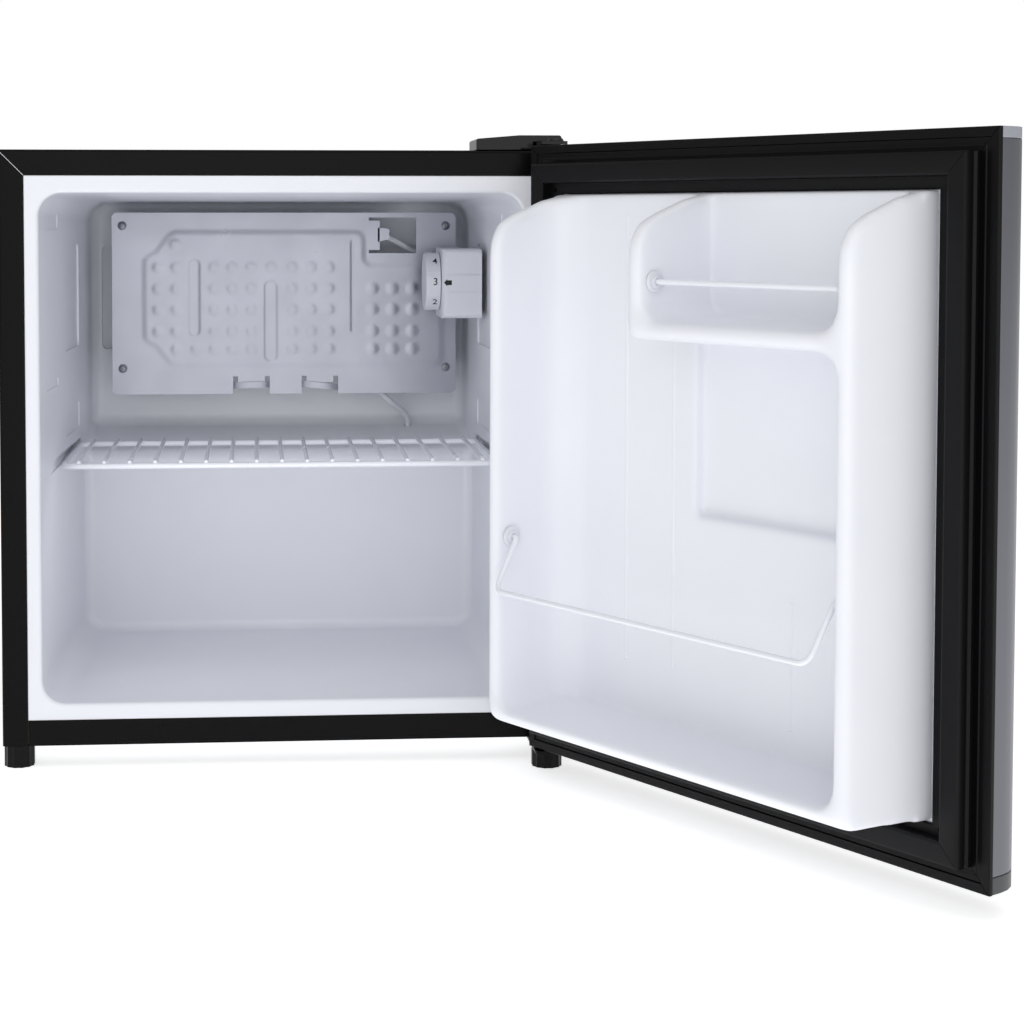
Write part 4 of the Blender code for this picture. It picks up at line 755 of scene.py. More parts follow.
def tube(route: Sequence[Vector], radius: float, segments: int = 16, closed: bool = False) -> BMesh:
    """A round wire along a route.

    Args:
        route: its centre line.
        radius: its radius.
        segments: facets round it.
        closed: whether its end joins its start; otherwise both ends are capped.

    Returns:
        The closed solid.
    """
    curve = bpy.data.curves.new("route", "CURVE")
    curve.dimensions = "3D"
    curve.bevel_depth = radius
    curve.bevel_resolution = max(0, segments // 4 - 1)
    curve.use_fill_caps = not closed
    spline = curve.splines.new("POLY")
    spline.points.add(len(route) - 1)
    for point, place in zip(spline.points, route):
        point.co = (*place, 1)
    spline.use_cyclic_u = closed
    holder = bpy.data.objects.new("route", curve)
    bpy.context.scene.collection.objects.link(holder)
    mesh = bpy.data.meshes.new_from_object(holder.evaluated_get(bpy.context.evaluated_depsgraph_get()))
    bm = bmesh.new()
    bm.from_mesh(mesh)
    bpy.data.meshes.remove(mesh)
    bpy.data.objects.remove(holder)
    bpy.data.curves.remove(curve)
    bmesh.ops.remove_doubles(bm, verts=bm.verts, dist=0.001)
    bmesh.ops.recalc_face_normals(bm, faces=bm.faces)
    return bm


def deliver(
    name: str,
    bm: BMesh,
    place: Placement,
    finish: Finish,
    stands_for: Iterable[str] = (),
    slot: str = "",
    sharp: float = 40.0,
    weighted: bool = True,
) -> bpy.types.Object:
    """Makes a finished piece of a drawing and hands it to the frame.

    Args:
        name: the piece's name.
        bm: its drawing in millimetres, which is freed.
        place: where the drawing stands, and the body that carries it.
        finish: its surface.
        stands_for: the CAD nodes that it replaces.
        slot: the record's material slot; not used.
        sharp: edges below this angle in degrees are smooth.
        weighted: whether large faces keep their own normals.

    Returns:
        The new object.
    """
    bmesh.ops.transform(bm, matrix=place.matrix, verts=bm.verts)
    mesh = bpy.data.meshes.new(name)
    bm.to_mesh(mesh)
    bm.free()
    mesh.materials.append(finish.material())
    mesh.shade_smooth()
    mesh.set_sharp_from_angle(angle=math.radians(sharp))
    made = bpy.data.objects.new(name, mesh)
    bpy.context.scene.collection.objects.link(made)
    if weighted:
        modifier = made.modifiers.new("weighted", "WEIGHTED_NORMAL")
        modifier.keep_sharp = True
    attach(made, place.body)
    nodes = tuple(stands_for)
    if nodes:
        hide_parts(*nodes)
    log.info("%s: %d faces", name, len(mesh.polygons))
    return made


@dataclass(frozen=True)
class Refined:
    """A CAD node whose shape is kept, drawn again with its edges eased.

    Attributes:
        node: the CAD node.
        finish: its surface.
        ease: radius of its edges in millimetres, or 0 where only the shading is smoothed.
        segments: facets across each eased edge.
        sharp: edges above this angle in degrees are eased.
    """

    node: str
    finish: Finish
    ease: float = 0.4
    segments: int = 3
    sharp: float = 40.0

    def build(self, frame: Frame) -> bpy.types.Object:
        """Makes the piece from a merged copy of the node's mesh.

        Args:
            frame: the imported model.

        Returns:
            The new object.
        """
        source = frame.loaded["nodes"][self.node]
        bm = bmesh.new()
        bm.from_mesh(source.data)
        bmesh.ops.scale(bm, verts=bm.verts, vec=(1 / MM,) * 3)
        bmesh.ops.remove_doubles(bm, verts=bm.verts, dist=0.003)
        bmesh.ops.dissolve_limit(bm, angle_limit=math.radians(0.5), verts=bm.verts, edges=bm.edges)
        if self.ease:
            fillet(bm, self.ease, self.segments, lambda e: steep(e, self.sharp))
        records = {s["node"]: s["material_slot"] for s in frame.loaded["record"]["subparts"]}
        place = Placement(Matrix.Scale(MM, 4), source["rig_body"])
        name, slot = f"{self.node}_surface", records.get(self.node, "")
        return deliver(name, bm, place, self.finish, [self.node], slot, self.sharp)


# ---------------------------------------------------------------- the studio


@dataclass
class Studio:
    """Floor, lights and camera."""

    frame: Frame
    eye: Point3 = (-20.1, -1598.3, 432.1)
    yaw: float = 4.17
    pitch: float = 2.818
    focal: float = 2043.1 / 1024.0
    sensor: float = 36.0
    shift: Point2 = (0.1035, -0.191)

    def build(self) -> None:
        """Makes the whole studio."""
        self.camera()
        self.floor()
        self.lights()

    def camera(self) -> None:
        """The camera, turned a little so that its shift stays small."""
        data = bpy.data.cameras.new("camera")
        data.sensor_width = self.sensor
        data.lens = self.focal * self.sensor
        data.shift_x, data.shift_y = self.shift
        data.clip_end = 50
        camera = bpy.data.objects.new("camera", data)
        bpy.context.scene.collection.objects.link(camera)
        camera.location = self.frame.cabinet.matrix @ Vector(self.eye)
        camera.rotation_euler = (math.radians(90 - self.pitch), 0, math.radians(-self.yaw))
        bpy.context.scene.camera = camera

    def floor(self) -> None:
        """A plain pale flat floor."""
        bm = bmesh.new()
        bmesh.ops.create_grid(bm, x_segments=1, y_segments=1, size=12)
        mesh = bpy.data.meshes.new("floor")
        bm.to_mesh(mesh)
        bm.free()
        made = bpy.data.materials.new("studio_floor")
        made.use_nodes = True
        shader = made.node_tree.nodes["Principled BSDF"]
        shader.inputs["Base Color"].default_value = linear("ffffff")
        shader.inputs["Roughness"].default_value = 0.9
        shader.inputs["Specular IOR Level"].default_value = 0.0
        shader.inputs["Emission Color"].default_value = linear("ffffff")
        shader.inputs["Emission Strength"].default_value = 0.6
        mesh.materials.append(made)
        floor = bpy.data.objects.new("floor", mesh)
        bpy.context.scene.collection.objects.link(floor)

    def area(self, name: str, place: Point3, aim: Point3, size: Point2, power: float) -> None:
        """Adds one soft area light.

        Args:
            name: its name.
            place: where it is, in metres.
            aim: the point that it faces.
            size: its width and height in metres.
            power: its power in watts.
        """
        data = bpy.data.lights.new(name, "AREA")
        data.shape = "RECTANGLE"
        data.size, data.size_y = size
        data.energy = power
        light = bpy.data.objects.new(name, data)
        bpy.context.scene.collection.objects.link(light)
        light.location = place
        light.rotation_euler = (Vector(aim) - Vector(place)).to_track_quat("-Z", "Y").to_euler()

    def lights(self) -> None:
        """A white backdrop that lights the scene less than it shows, and three soft boxes."""
        world = bpy.data.worlds.new("studio")
        world.use_nodes = True
        tree = world.node_tree
        sky = tree.nodes["Background"]
        sky.inputs["Color"].default_value = linear("ffffff")
        sky.inputs["Strength"].default_value = 0.42
        seen = add_node(tree, "ShaderNodeBackground", {"Color": linear("ffffff"), "Strength": 1.0})
        path = add_node(tree, "ShaderNodeLightPath")
        inputs = {0: path.outputs["Is Camera Ray"], 1: sky.outputs[0], 2: seen.outputs[0]}
        mix = add_node(tree, "ShaderNodeMixShader", inputs)
        tree.links.new(mix.outputs[0], tree.nodes["World Output"].inputs[0])
        bpy.context.scene.world = world
        bpy.context.scene.view_settings.view_transform = "Standard"
        self.area("front", (-0.9, -2.6, 1.5), (0, 0, 0.25), (2.2, 1.6), 12)
        self.area("top", (0.2, -0.6, 2.4), (0, 0, 0.2), (2.4, 2.0), 11)
        self.area("low", (0.1, -2.2, 0.5), (-0.1, 0.2, 0.2), (1.6, 0.8), 4.0)
        within = self.frame.cabinet.matrix
        source, aim = within @ Vector((0, 20, 205)), within @ Vector((0, 200, 80))
        self.area("inside", source, aim, (0.3, 0.03), 0.05)


# ---------------------------------------------------------------- softened mouldings


def softened(bm: BMesh, voxel: float, rounds: int) -> BMesh:
    """Draws a solid again with even facets and rounds every edge, as a sheet formed over a tool has them.

    Args:
        bm: the closed solid, which is freed.
        voxel: width of the facets.
        rounds: how often the surface is relaxed, which sets how wide its edges are.

    Returns:
        The soft solid.
    """
    body = temporary(bm)
    modifier = body.modifiers.new("facets", "REMESH")
    modifier.mode = "VOXEL"
    modifier.voxel_size = voxel
    graph = bpy.context.evaluated_depsgraph_get()
    mesh = bpy.data.meshes.new_from_object(body.evaluated_get(graph))
    result = bmesh.new()
    result.from_mesh(mesh)
    bpy.data.meshes.remove(mesh)
    old = body.data
    bpy.data.objects.remove(body)
    bpy.data.meshes.remove(old)
    relaxed(result, result.verts, rounds)
    return result


def relaxed(bm: BMesh, verts: Iterable[bmesh.types.BMVert], rounds: int) -> None:
    """Smooths vertices.

    Args:
        bm: the shape that is changed.
        verts: the vertices that move.
        rounds: how often they are smoothed.
    """
    chosen = list(verts)
    for _ in range(rounds):
        bmesh.ops.smooth_vert(
            bm, verts=chosen, factor=0.5, use_axis_x=True, use_axis_y=True, use_axis_z=True
        )


def smoothstep(value: float) -> float:
    """Eases from 0 to 1."""
    t = min(1.0, max(0.0, value))
    return t * t * (3 - 2 * t)


def beside(point: Point2, outline: Sequence[Point2]) -> float:
    """How far a point is inside an outline.

    Args:
        point: the point.
        outline: the closed outline.

    Returns:
        Its distance from the outline, negative outside it.
    """
    x, y = point
    inside, nearest = False, math.inf
    for (ax, ay), (bx, by) in zip(outline, [*outline[1:], outline[0]]):
        if (ay > y) != (by > y) and x < ax + (y - ay) * (bx - ax) / (by - ay):
            inside = not inside
        dx, dy = bx - ax, by - ay
        t = min(1.0, max(0.0, ((x - ax) * dx + (y - ay) * dy) / (dx * dx + dy * dy or 1.0)))
        nearest = min(nearest, math.hypot(x - ax - t * dx, y - ay - t * dy))
    return nearest if inside else -nearest


@dataclass(frozen=True)
class Drawing:
    """Sizes that several assemblies share, in the drawing's millimetres."""

    half: float = 220.0
    foot: float = 17.4
    top: float = 483.4
    strip: float = 20.0
    opening_half: float = 189.0
    opening_low: float = 50.4
    opening_high: float = 450.4
    lower_depth: float = 283.0
    upper_depth: float = 350.0
    ledge: float = 215.4
    taper: float = 13.0
    wall: float = 2.0
    door_low: float = 18.4
    door_high: float = 486.0
    face: float = -13.0
    plate_front: float = 300.0

    def side(self, depth: float) -> float:
        """Half the width between the liner's walls at a depth."""
        return self.opening_half - self.taper * depth / self.upper_depth


SIZES = Drawing()


@dataclass
class CabinetLiner:
    """The food compartment: a formed tub with its front flange, runners, ledge and stiffening recesses."""

    frame: Frame
    radius: float = 18.0
    back_radius: float = 9.0
    steps: int = 8
    lip: float = 2.6
    runner_low: float = 223.2
    runner_high: float = 232.5

    def build(self) -> None:
        """Makes the liner."""
        outer = carved(
            self.tub(SIZES.wall, 0.8),
            (Cut.JOIN, self.flange()),
            (Cut.JOIN, self.runners(SIZES.wall, -SIZES.wall)),
            (Cut.JOIN, self.backing()),
        )
        body = carved(
            outer,
            (Cut.AWAY, self.tub(0, -20)),
            (Cut.AWAY, self.runners(0, 20)),
            (Cut.AWAY, self.recesses()),
            (Cut.AWAY, bar((122.5, 340), 3.4, "Z", 170, 245, 24)),
        )
        fillet(body, self.lip, 5, self.mouth)
        place = self.frame.cabinet
        deliver("cabinet_liner_moulding", body, place, LINER_PLASTIC, ["cabinet_liner"], "liner_white", 50)
        self.foam()

    @staticmethod
    def mouth(edge: bmesh.types.BMEdge) -> bool:
        """Whether an edge is part of the compartment's mouth in the flange."""
        wide, low, high = SIZES.opening_half + 0.6, SIZES.opening_low - 1, SIZES.opening_high + 1
        inside = (v.co.y < 0.6 and abs(v.co.x) < wide and low < v.co.z < high for v in edge.verts)
        return steep(edge, 50) and all(inside)

    def foam(self) -> None:
        """The foam behind the liner, fitted to its rounder corners."""
        place = self.frame.cabinet
        source = self.frame.loaded["nodes"]["cabinet_foam"]
        bm = bmesh.new()
        bm.from_mesh(source.data)
        bmesh.ops.transform(bm, matrix=place.matrix.inverted(), verts=bm.verts)
        bmesh.ops.remove_doubles(bm, verts=bm.verts, dist=0.003)
        bm = carved(bm, (Cut.AWAY, self.tub(SIZES.wall + 0.3, -5)), (Cut.AWAY, self.backing(0.3)))
        deliver("foam_filling", bm, place, FOAM, ["cabinet_foam"], "foam", 30, False)

    def backing(self, grow: float = 0.0) -> BMesh:
        """The outside of the back wall's recess."""
        back = SIZES.upper_depth
        low = (-168.4 - grow, back - 2, 304.2 - grow)
        return block(low, (171.5 + grow, back + 7.4 + grow, 405.8 + grow))

    def tub(self, grow: float, front: float) -> BMesh:
        """The compartment's space.

        Args:
            grow: how far its walls are moved outwards.
            front: the depth at which it starts.

        Returns:
            The closed solid.
        """
        profile: list[Point2] = [
            (0, SIZES.opening_low),
            (SIZES.lower_depth, SIZES.opening_low),
            (SIZES.lower_depth, SIZES.ledge),
            (SIZES.upper_depth, SIZES.ledge + 20),
            (SIZES.upper_depth, SIZES.opening_high - 6),
            (0, SIZES.opening_high),
        ]
        profile = offset(profile, grow)
        profile[0] = (front, profile[0][1])
        profile[-1] = (front, profile[-1][1])
        bm = prism(profile, "X", -1, 1)
        for vert in bm.verts:
            vert.co.x = math.copysign(SIZES.side(vert.co.y) + grow, vert.co.x)
        behind = max(front, 0) + 1

        def walls(edge: bmesh.types.BMEdge) -> bool:
            """Whether an edge runs back between two walls."""
            return any(v.co.y < behind for v in edge.verts) and self.along(edge)

        def rear(edge: bmesh.types.BMEdge) -> bool:
            """Whether an edge is behind the mouth."""
            return all(v.co.y > behind for v in edge.verts) and steep(edge, 30)

        fillet(bm, self.radius + grow, self.steps, walls)
        return fillet(bm, self.back_radius + grow, self.steps, rear)

    @staticmethod
    def along(edge: bmesh.types.BMEdge) -> bool:
        """Whether an edge runs from the front to the back."""
        a, b = (v.co for v in edge.verts)
        return abs(a.y - b.y) > 100

    def flange(self) -> BMesh:
        """The flat rim that the cabinet's steel holds."""
        edge = SIZES.half - SIZES.strip - 0.3
        low, high = SIZES.foot + SIZES.strip + 0.3, SIZES.top - SIZES.strip - 0.3
        return block((-edge, 0.4, low), (edge, 0.4 + SIZES.wall, high))

    def runners(self, grow: float, inner: float) -> BMesh:
        """The grooves that carry the shelf, flared at the front where it is led in.

        Args:
            grow: how far they are moved outwards.
            inner: how far they reach into the compartment.

        Returns:
            Both grooves as solids.
        """
        shapes = []
        for side in (-1, 1):
            reach, near = side * (187 + grow), side * (180 - inner)
            low, high = self.runner_low - grow, self.runner_high + grow
            low_x, high_x = min(near, reach), max(near, reach)
            shapes.append(block((low_x, 41 - grow, low), (high_x, 262.8 + grow, high)))
            flare = [(24 - grow, low - 5), (60, low), (60, high), (24 - grow, high + 7)]
            shapes.append(prism(flare, "X", low_x, high_x))
        return carved(shapes[0], *[(Cut.JOIN, shape) for shape in shapes[1:]])

    def recesses(self) -> BMesh:
        """Shallow recesses in the side walls and the back wall that stiffen the sheet.

        Returns:
            The recesses as solids. Each side's are given by their nearest and furthest depth, their
            lowest and highest level, and how deep they are sunk.
        """
        back = SIZES.upper_depth
        outline = rounded([(-166.6, 306, 5), (169.7, 306, 5), (169.7, 404, 5), (-166.6, 404, 5)], 6)
        shapes = [prism(outline, "Y", back - 5, back + 5.6)]
        for side in (-1, 1):
            spans = (
                (155, 249, 316, 407, 1.5),
                (35, 112, 421, 433, 0.8),
                (155, 249, 243, 266, 0.9),
                (40, 110, 292, 299, 0.6),
            )
            for near, far, low, high, sink in spans:
                corner = min(5, (high - low) / 3)
                square = [(near, low), (far, low), (far, high), (near, high)]
                shape = prism(rounded([(*point, corner) for point in square], 5), "X", -8, sink)
                for vert in shape.verts:
                    vert.co.x = side * (SIZES.side(vert.co.y) + vert.co.x)
                shapes.append(shape)
        return carved(shapes[0], *[(Cut.JOIN, shape) for shape in shapes[1:]])


@dataclass
class DoorLiner:
    """The door's formed liner: dikes round a bottle bay, an upper shelf and a sunk panel."""

    frame: Frame
    low: float = 54.6
    high: float = 448.0
    base_half: float = 177.0
    bay: float = 162.0
    dike: float = 80.0
    draft: float = 3.0
    panel: float = 12.0
    sink: float = 8.0
    under: float = 349.0
    shelf: float = 362.0
    shelf_wall: Point2 = (10.0, 24.0)
    recess_low: float = 224.4
    voxel: float = 2.1

    def build(self) -> None:
        """Makes the liner."""
        face = SIZES.face
        body = carved(
            self.silhouette(),
            (Cut.AWAY, self.bay_space()),
            (Cut.AWAY, self.shelf_space()),
            (Cut.AWAY, self.recess()),
            (Cut.JOIN, self.hinge_sweep()),
        )
        bm = softened(body, self.voxel, 5)
        proud = [v for v in bm.verts if v.co.y > face + self.panel + 3]
        relaxed(bm, proud, 16)
        behind = [f for f in bm.faces if all(v.co.y < face + 0.3 for v in f.verts)]
        bmesh.ops.delete(bm, geom=behind, context="FACES")
        edge = SIZES.half - 29.8
        flange = block(
            (-edge, face - 0.9, SIZES.door_low + 29.8), (edge, face + 1.1, SIZES.door_high - 29.8)
        )
        bm = together(bm, fillet(flange, 0.6, 2), *self.beads())
        place, replaced = self.frame.door, ["door_liner"]
        deliver("door_liner_moulding", bm, place, LINER_PLASTIC, replaced, "liner_white", 60, False)

    def silhouette(self) -> BMesh:
        """The whole block of the liner, drawn in towards its front.

        Returns:
            The closed solid.
        """
        face, depth = SIZES.face, self.dike
        profile: list[Point2] = [
            (face - 0.5, self.low),
            (face + depth - 8, self.low + 4),
            (face + depth, self.low + 12),
            (face + depth, self.high - 44),
            (face + depth - 2.5, self.high - 31),
            (face + depth - 9, self.high - 21),
            (face + depth - 20, self.high - 15),
            (face + 30, self.high - 4),
            (face + self.panel - 4, self.high),
            (face - 0.5, self.high),
        ]
        bm = prism(profile, "X", -1, 1)
        for vert in bm.verts:
            wide = self.base_half - self.draft * (vert.co.y - face) / depth
            vert.co.x = math.copysign(wide, vert.co.x)
        return bm

    def bay_space(self) -> BMesh:
        """The room between the dikes, under and beside the shelf.

        Returns:
            The closed solid.
        """
        outline = rounded(
            [
                (-self.bay, self.low + 17.5, 13),
                (self.bay, self.low + 17.5, 13),
                (self.bay, 520, 0),
                (self.shelf_wall[1], 520, 0),
                (self.shelf_wall[1], self.under, 6),
                (-self.bay, self.under, 15),
            ],
            8,
        )
        bm = prism(outline, "Y", SIZES.face + self.panel, SIZES.face + 160)
        for vert in bm.verts:
            if vert.co.y > SIZES.face + 100 and vert.co.z < self.low + 40:
                vert.co.z -= 4
        return bm

    def shelf_space(self) -> BMesh:
        """The room on the upper shelf."""
        left, right, top = -self.bay, self.shelf_wall[0], 520
        corners = [(left, self.shelf, 16), (right, self.shelf, 16), (right, top, 0), (left, top, 0)]
        outline = rounded(corners, 8)
        return prism(outline, "Y", SIZES.face + self.panel, SIZES.face + 160)

    def recess(self) -> BMesh:
        """The sunk part of the panel under the shelf."""
        face = SIZES.face
        return block(
            (-self.bay, face + self.panel - self.sink, self.recess_low),
            (self.shelf_wall[1], face + 40, self.under),
        )

    def hinge_sweep(self) -> BMesh:
        """The broad sweep from the hinge side's dike into the panel.

        Returns:
            The closed solid, kept within the liner's block.
        """
        face, reach = SIZES.face + self.panel, 30.0
        arc = [
            (self.bay - reach + reach * math.sin(a), face + reach - reach * math.cos(a))
            for a in (math.pi / 2 * i / 10 for i in range(11))
        ]
        outline = [(self.bay - reach, face - 1), *arc, (self.bay + 1, face + reach), (self.bay + 1, face - 1)]
        return carved(prism(outline, "Z", self.low + 18, self.high + 4), (Cut.WITHIN, self.silhouette()))

    def beads(self) -> list[BMesh]:
        """Slim upright beads on the panel, with a small boss at each lower end.

        Returns:
            The beads and bosses as solids.
        """
        face = SIZES.face + self.panel
        made = []
        for x, low, high in ((95, 112, 432), (46, 112, 432), (-67, 92, 176)):
            bead = bar((x, face - 0.5), 1.3, "Z", low, high, 20)
            tip = bmesh.new()
            bmesh.ops.create_uvsphere(tip, u_segments=20, v_segments=12, radius=1.9)
            bmesh.ops.translate(tip, verts=tip.verts, vec=(x, face - 0.6, low))
            made += [bead, tip]
        return made


@dataclass
class EvaporatorPlate:
    """The stamped aluminium plate over the evaporator, with its window and the straps at its foot."""

    frame: Frame
    left: float = -153.6
    right: float = 164.7
    low: float = 267.0
    high: float = 435.0
    pitch: float = 1.15
    sheet: float = 1.5
    corner: float = 5.0
    rise: float = 0.46
    ramp: float = 7.0
    dimple: float = 7.2
    bulge: float = 0.44
    channel_depth: float = 0.5
    channel_edge: float = 3.4
    window: tuple[float, float, float, float] = (93.7, 127.7, 397.4, 430.6)

    def __post_init__(self) -> None:
        """Draws the outlines of the stamping."""
        left, high = self.left + 29.5, self.high - 17.9
        self.panel = rounded(
            [
                (left, 317.5, 8),
                (left + 11, 311, 6),
                (left + 25, 293.5, 12),
                (151.7, 293.5, 8),
                (151.7, 386, 8),
                (78.7, 386, 8),
                (78.7, high, 8),
                (left + 25, high, 12),
                (left + 11, 399, 6),
                (left, 392.5, 8),
            ],
            6,
        )
        ups = (308.5, 325.1, 345.3, 364.8, 384.5)
        middle = ups[1:4]
        self.dimples: list[Point2] = []
        columns = {
            -111.4: ups[1:],
            -94.7: ups,
            -76.3: ups[:1],
            -59.7: ups,
            -43.1: ups,
            -25.5: ups,
            -7.1: ups[4:],
            12.3: ups,
            29.8: ups,
            46.4: ups,
            87.0: (*ups[:1], *middle),
            105.5: (*ups[:1], *middle),
            124.0: (*ups[:1], *middle),
        }
        for x, levels in columns.items():
            self.dimples += [(x, z) for z in levels]
        self.dimples.append((-95.7, 405.7))
        self.channels = (
            ((-78.2, 326), (-78.2, 387), 6.6),
            ((-7.6, 303), (-7.6, 366), 7.4),
            ((68.3, 326), (68.3, 408), 2.6),
        )

    def height(self, x: float, z: float) -> float:
        """How far the stamping stands out.

        Args:
            x: place across the plate.
            z: level on it.

        Returns:
            The height of the emboss, without the sheet.
        """
        up = self.rise * smoothstep(beside((x, z), self.panel) / self.ramp + 0.5)
        for cx, cz in self.dimples:
            away = math.hypot(x - cx, z - cz)
            if away < self.dimple:
                up += self.bulge * smoothstep(1.2 * (1 - away / self.dimple))
        for (ax, az), (_, bz), wide in self.channels:
            away = math.hypot(x - ax, z - min(bz, max(az, z)))
            up -= self.channel_depth * smoothstep((wide - away) / self.channel_edge)
        return up

    def build(self) -> None:
        """Makes the plate."""
        wide, tall = self.right - self.left, self.high - self.low
        bm = bmesh.new()
        bmesh.ops.create_grid(
            bm, x_segments=round(wide / self.pitch), y_segments=round(tall / self.pitch), size=0.5
        )
        bmesh.ops.scale(bm, verts=bm.verts, vec=(wide, tall, 1))
        bmesh.ops.rotate(bm, verts=bm.verts, matrix=Matrix.Rotation(math.pi / 2, 3, "X"))
        middle = ((self.left + self.right) / 2, SIZES.plate_front, (self.low + self.high) / 2)
        bmesh.ops.translate(bm, verts=bm.verts, vec=middle)
        self.pierce(bm)
        self.round_corners(bm)
        for vert in bm.verts:
            vert.co.y = SIZES.plate_front - self.height(vert.co.x, vert.co.z)
        if sum(f.normal.y for f in bm.faces) > 0:
            bmesh.ops.reverse_faces(bm, faces=bm.faces)
        bm.normal_update()
        back = bmesh.ops.extrude_face_region(bm, geom=list(bm.faces))["geom"]
        moved = [item for item in back if isinstance(item, bmesh.types.BMVert)]
        bmesh.ops.translate(bm, verts=moved, vec=(0, self.sheet, 0))
        bmesh.ops.recalc_face_normals(bm, faces=bm.faces)
        bm = together(bm, *self.straps(), self.tab())
        place, replaced = self.frame.cabinet, ["evaporator_plate"]
        deliver("evaporator_stamping", bm, place, PLATE_ALUMINIUM, replaced, "plate_aluminium", 50, False)

    def pierce(self, bm: BMesh) -> None:
        """Cuts the window, its slots and the strap openings out of the sheet.

        Args:
            bm: the flat sheet.
        """
        left, _, low, high = self.window
        holes = [
            self.window,
            (left - 10, left, high - 3, high),
            (left - 10, left, low, low + 3),
        ]
        for x, end in ((-42.7, -8.7), (20.9, 54.9)):
            holes.append((x, end, self.low - 1, self.low + 10.6))
            holes.append((x, x + 4.6, self.low + 10.6, self.low + 16.4))
            holes.append((end - 4.6, end, self.low + 10.6, self.low + 16.4))
        for cut in {h[0] for h in holes} | {h[1] for h in holes}:
            self.slice(bm, (cut, 0, 0), (1, 0, 0))
        for cut in {h[2] for h in holes} | {h[3] for h in holes}:
            self.slice(bm, (0, 0, cut), (0, 0, 1))
        doomed = []
        for face in bm.faces:
            x, _, z = face.calc_center_median()
            if any(a < x < b and c < z < d for a, b, c, d in holes):
                doomed.append(face)
        bmesh.ops.delete(bm, geom=doomed, context="FACES")

    @staticmethod
    def slice(bm: BMesh, point: Point3, normal: Point3) -> None:
        """Cuts the sheet along a plane without removing anything."""
        bmesh.ops.bisect_plane(
            bm, geom=[*bm.verts, *bm.edges, *bm.faces], dist=0.02, plane_co=point, plane_no=normal
        )

    def round_corners(self, bm: BMesh) -> None:
        """Draws the vertices near the sheet's corners in, which rounds the corners.

        Args:
            bm: the flat sheet.
        """
        middle_x, middle_z = (self.left + self.right) / 2, (self.low + self.high) / 2
        for vert in bm.verts:
            dx = self.corner - min(vert.co.x - self.left, self.right - vert.co.x)
            dz = self.corner - min(vert.co.z - self.low, self.high - vert.co.z)
            if dx > 0 and dz > 0:
                drawn = 1 - max(dx, dz) / math.hypot(dx, dz)
                vert.co.x += math.copysign(dx * drawn, middle_x - vert.co.x)
                vert.co.z += math.copysign(dz * drawn, middle_z - vert.co.z)

    def straps(self) -> list[BMesh]:
        """Two bowed straps that clasp the sleeve behind the plate, the second one twisted.

        Returns:
            The straps as solids.
        """
        front = SIZES.plate_front
        made = []
        for left, low_end, low_start in ((-42.7, 6.0, 5.0), (20.9, 3.0, 6.4)):
            bm = block((left, front, 0), (left + 34, front + self.sheet, 5.6))
            bmesh.ops.subdivide_edges(
                bm, edges=[e for e in bm.edges if abs(e.verts[0].co.x - e.verts[1].co.x) > 1], cuts=16
            )
            for vert in bm.verts:
                t = (vert.co.x - left) / 34
                vert.co.y -= 2.5 * math.sin(math.pi * t) ** 0.6 if 0 < t < 1 else 0
                vert.co.z += self.low + low_start + (low_end - low_start) * t
            made.append(bm)
        return made

    def tab(self) -> BMesh:
        """The tongue beside the window that holds the sensing tube."""
        front = SIZES.plate_front
        tip = [(105, 411.5, 2), (101, 415, 3), (105, 419, 2)]
        outline = rounded([(92, 408, 0), (99, 409.5, 2), *tip, (99, 420.5, 2), (92, 421, 0)], 5)
        return prism(outline, "Y", front, front + self.sheet)


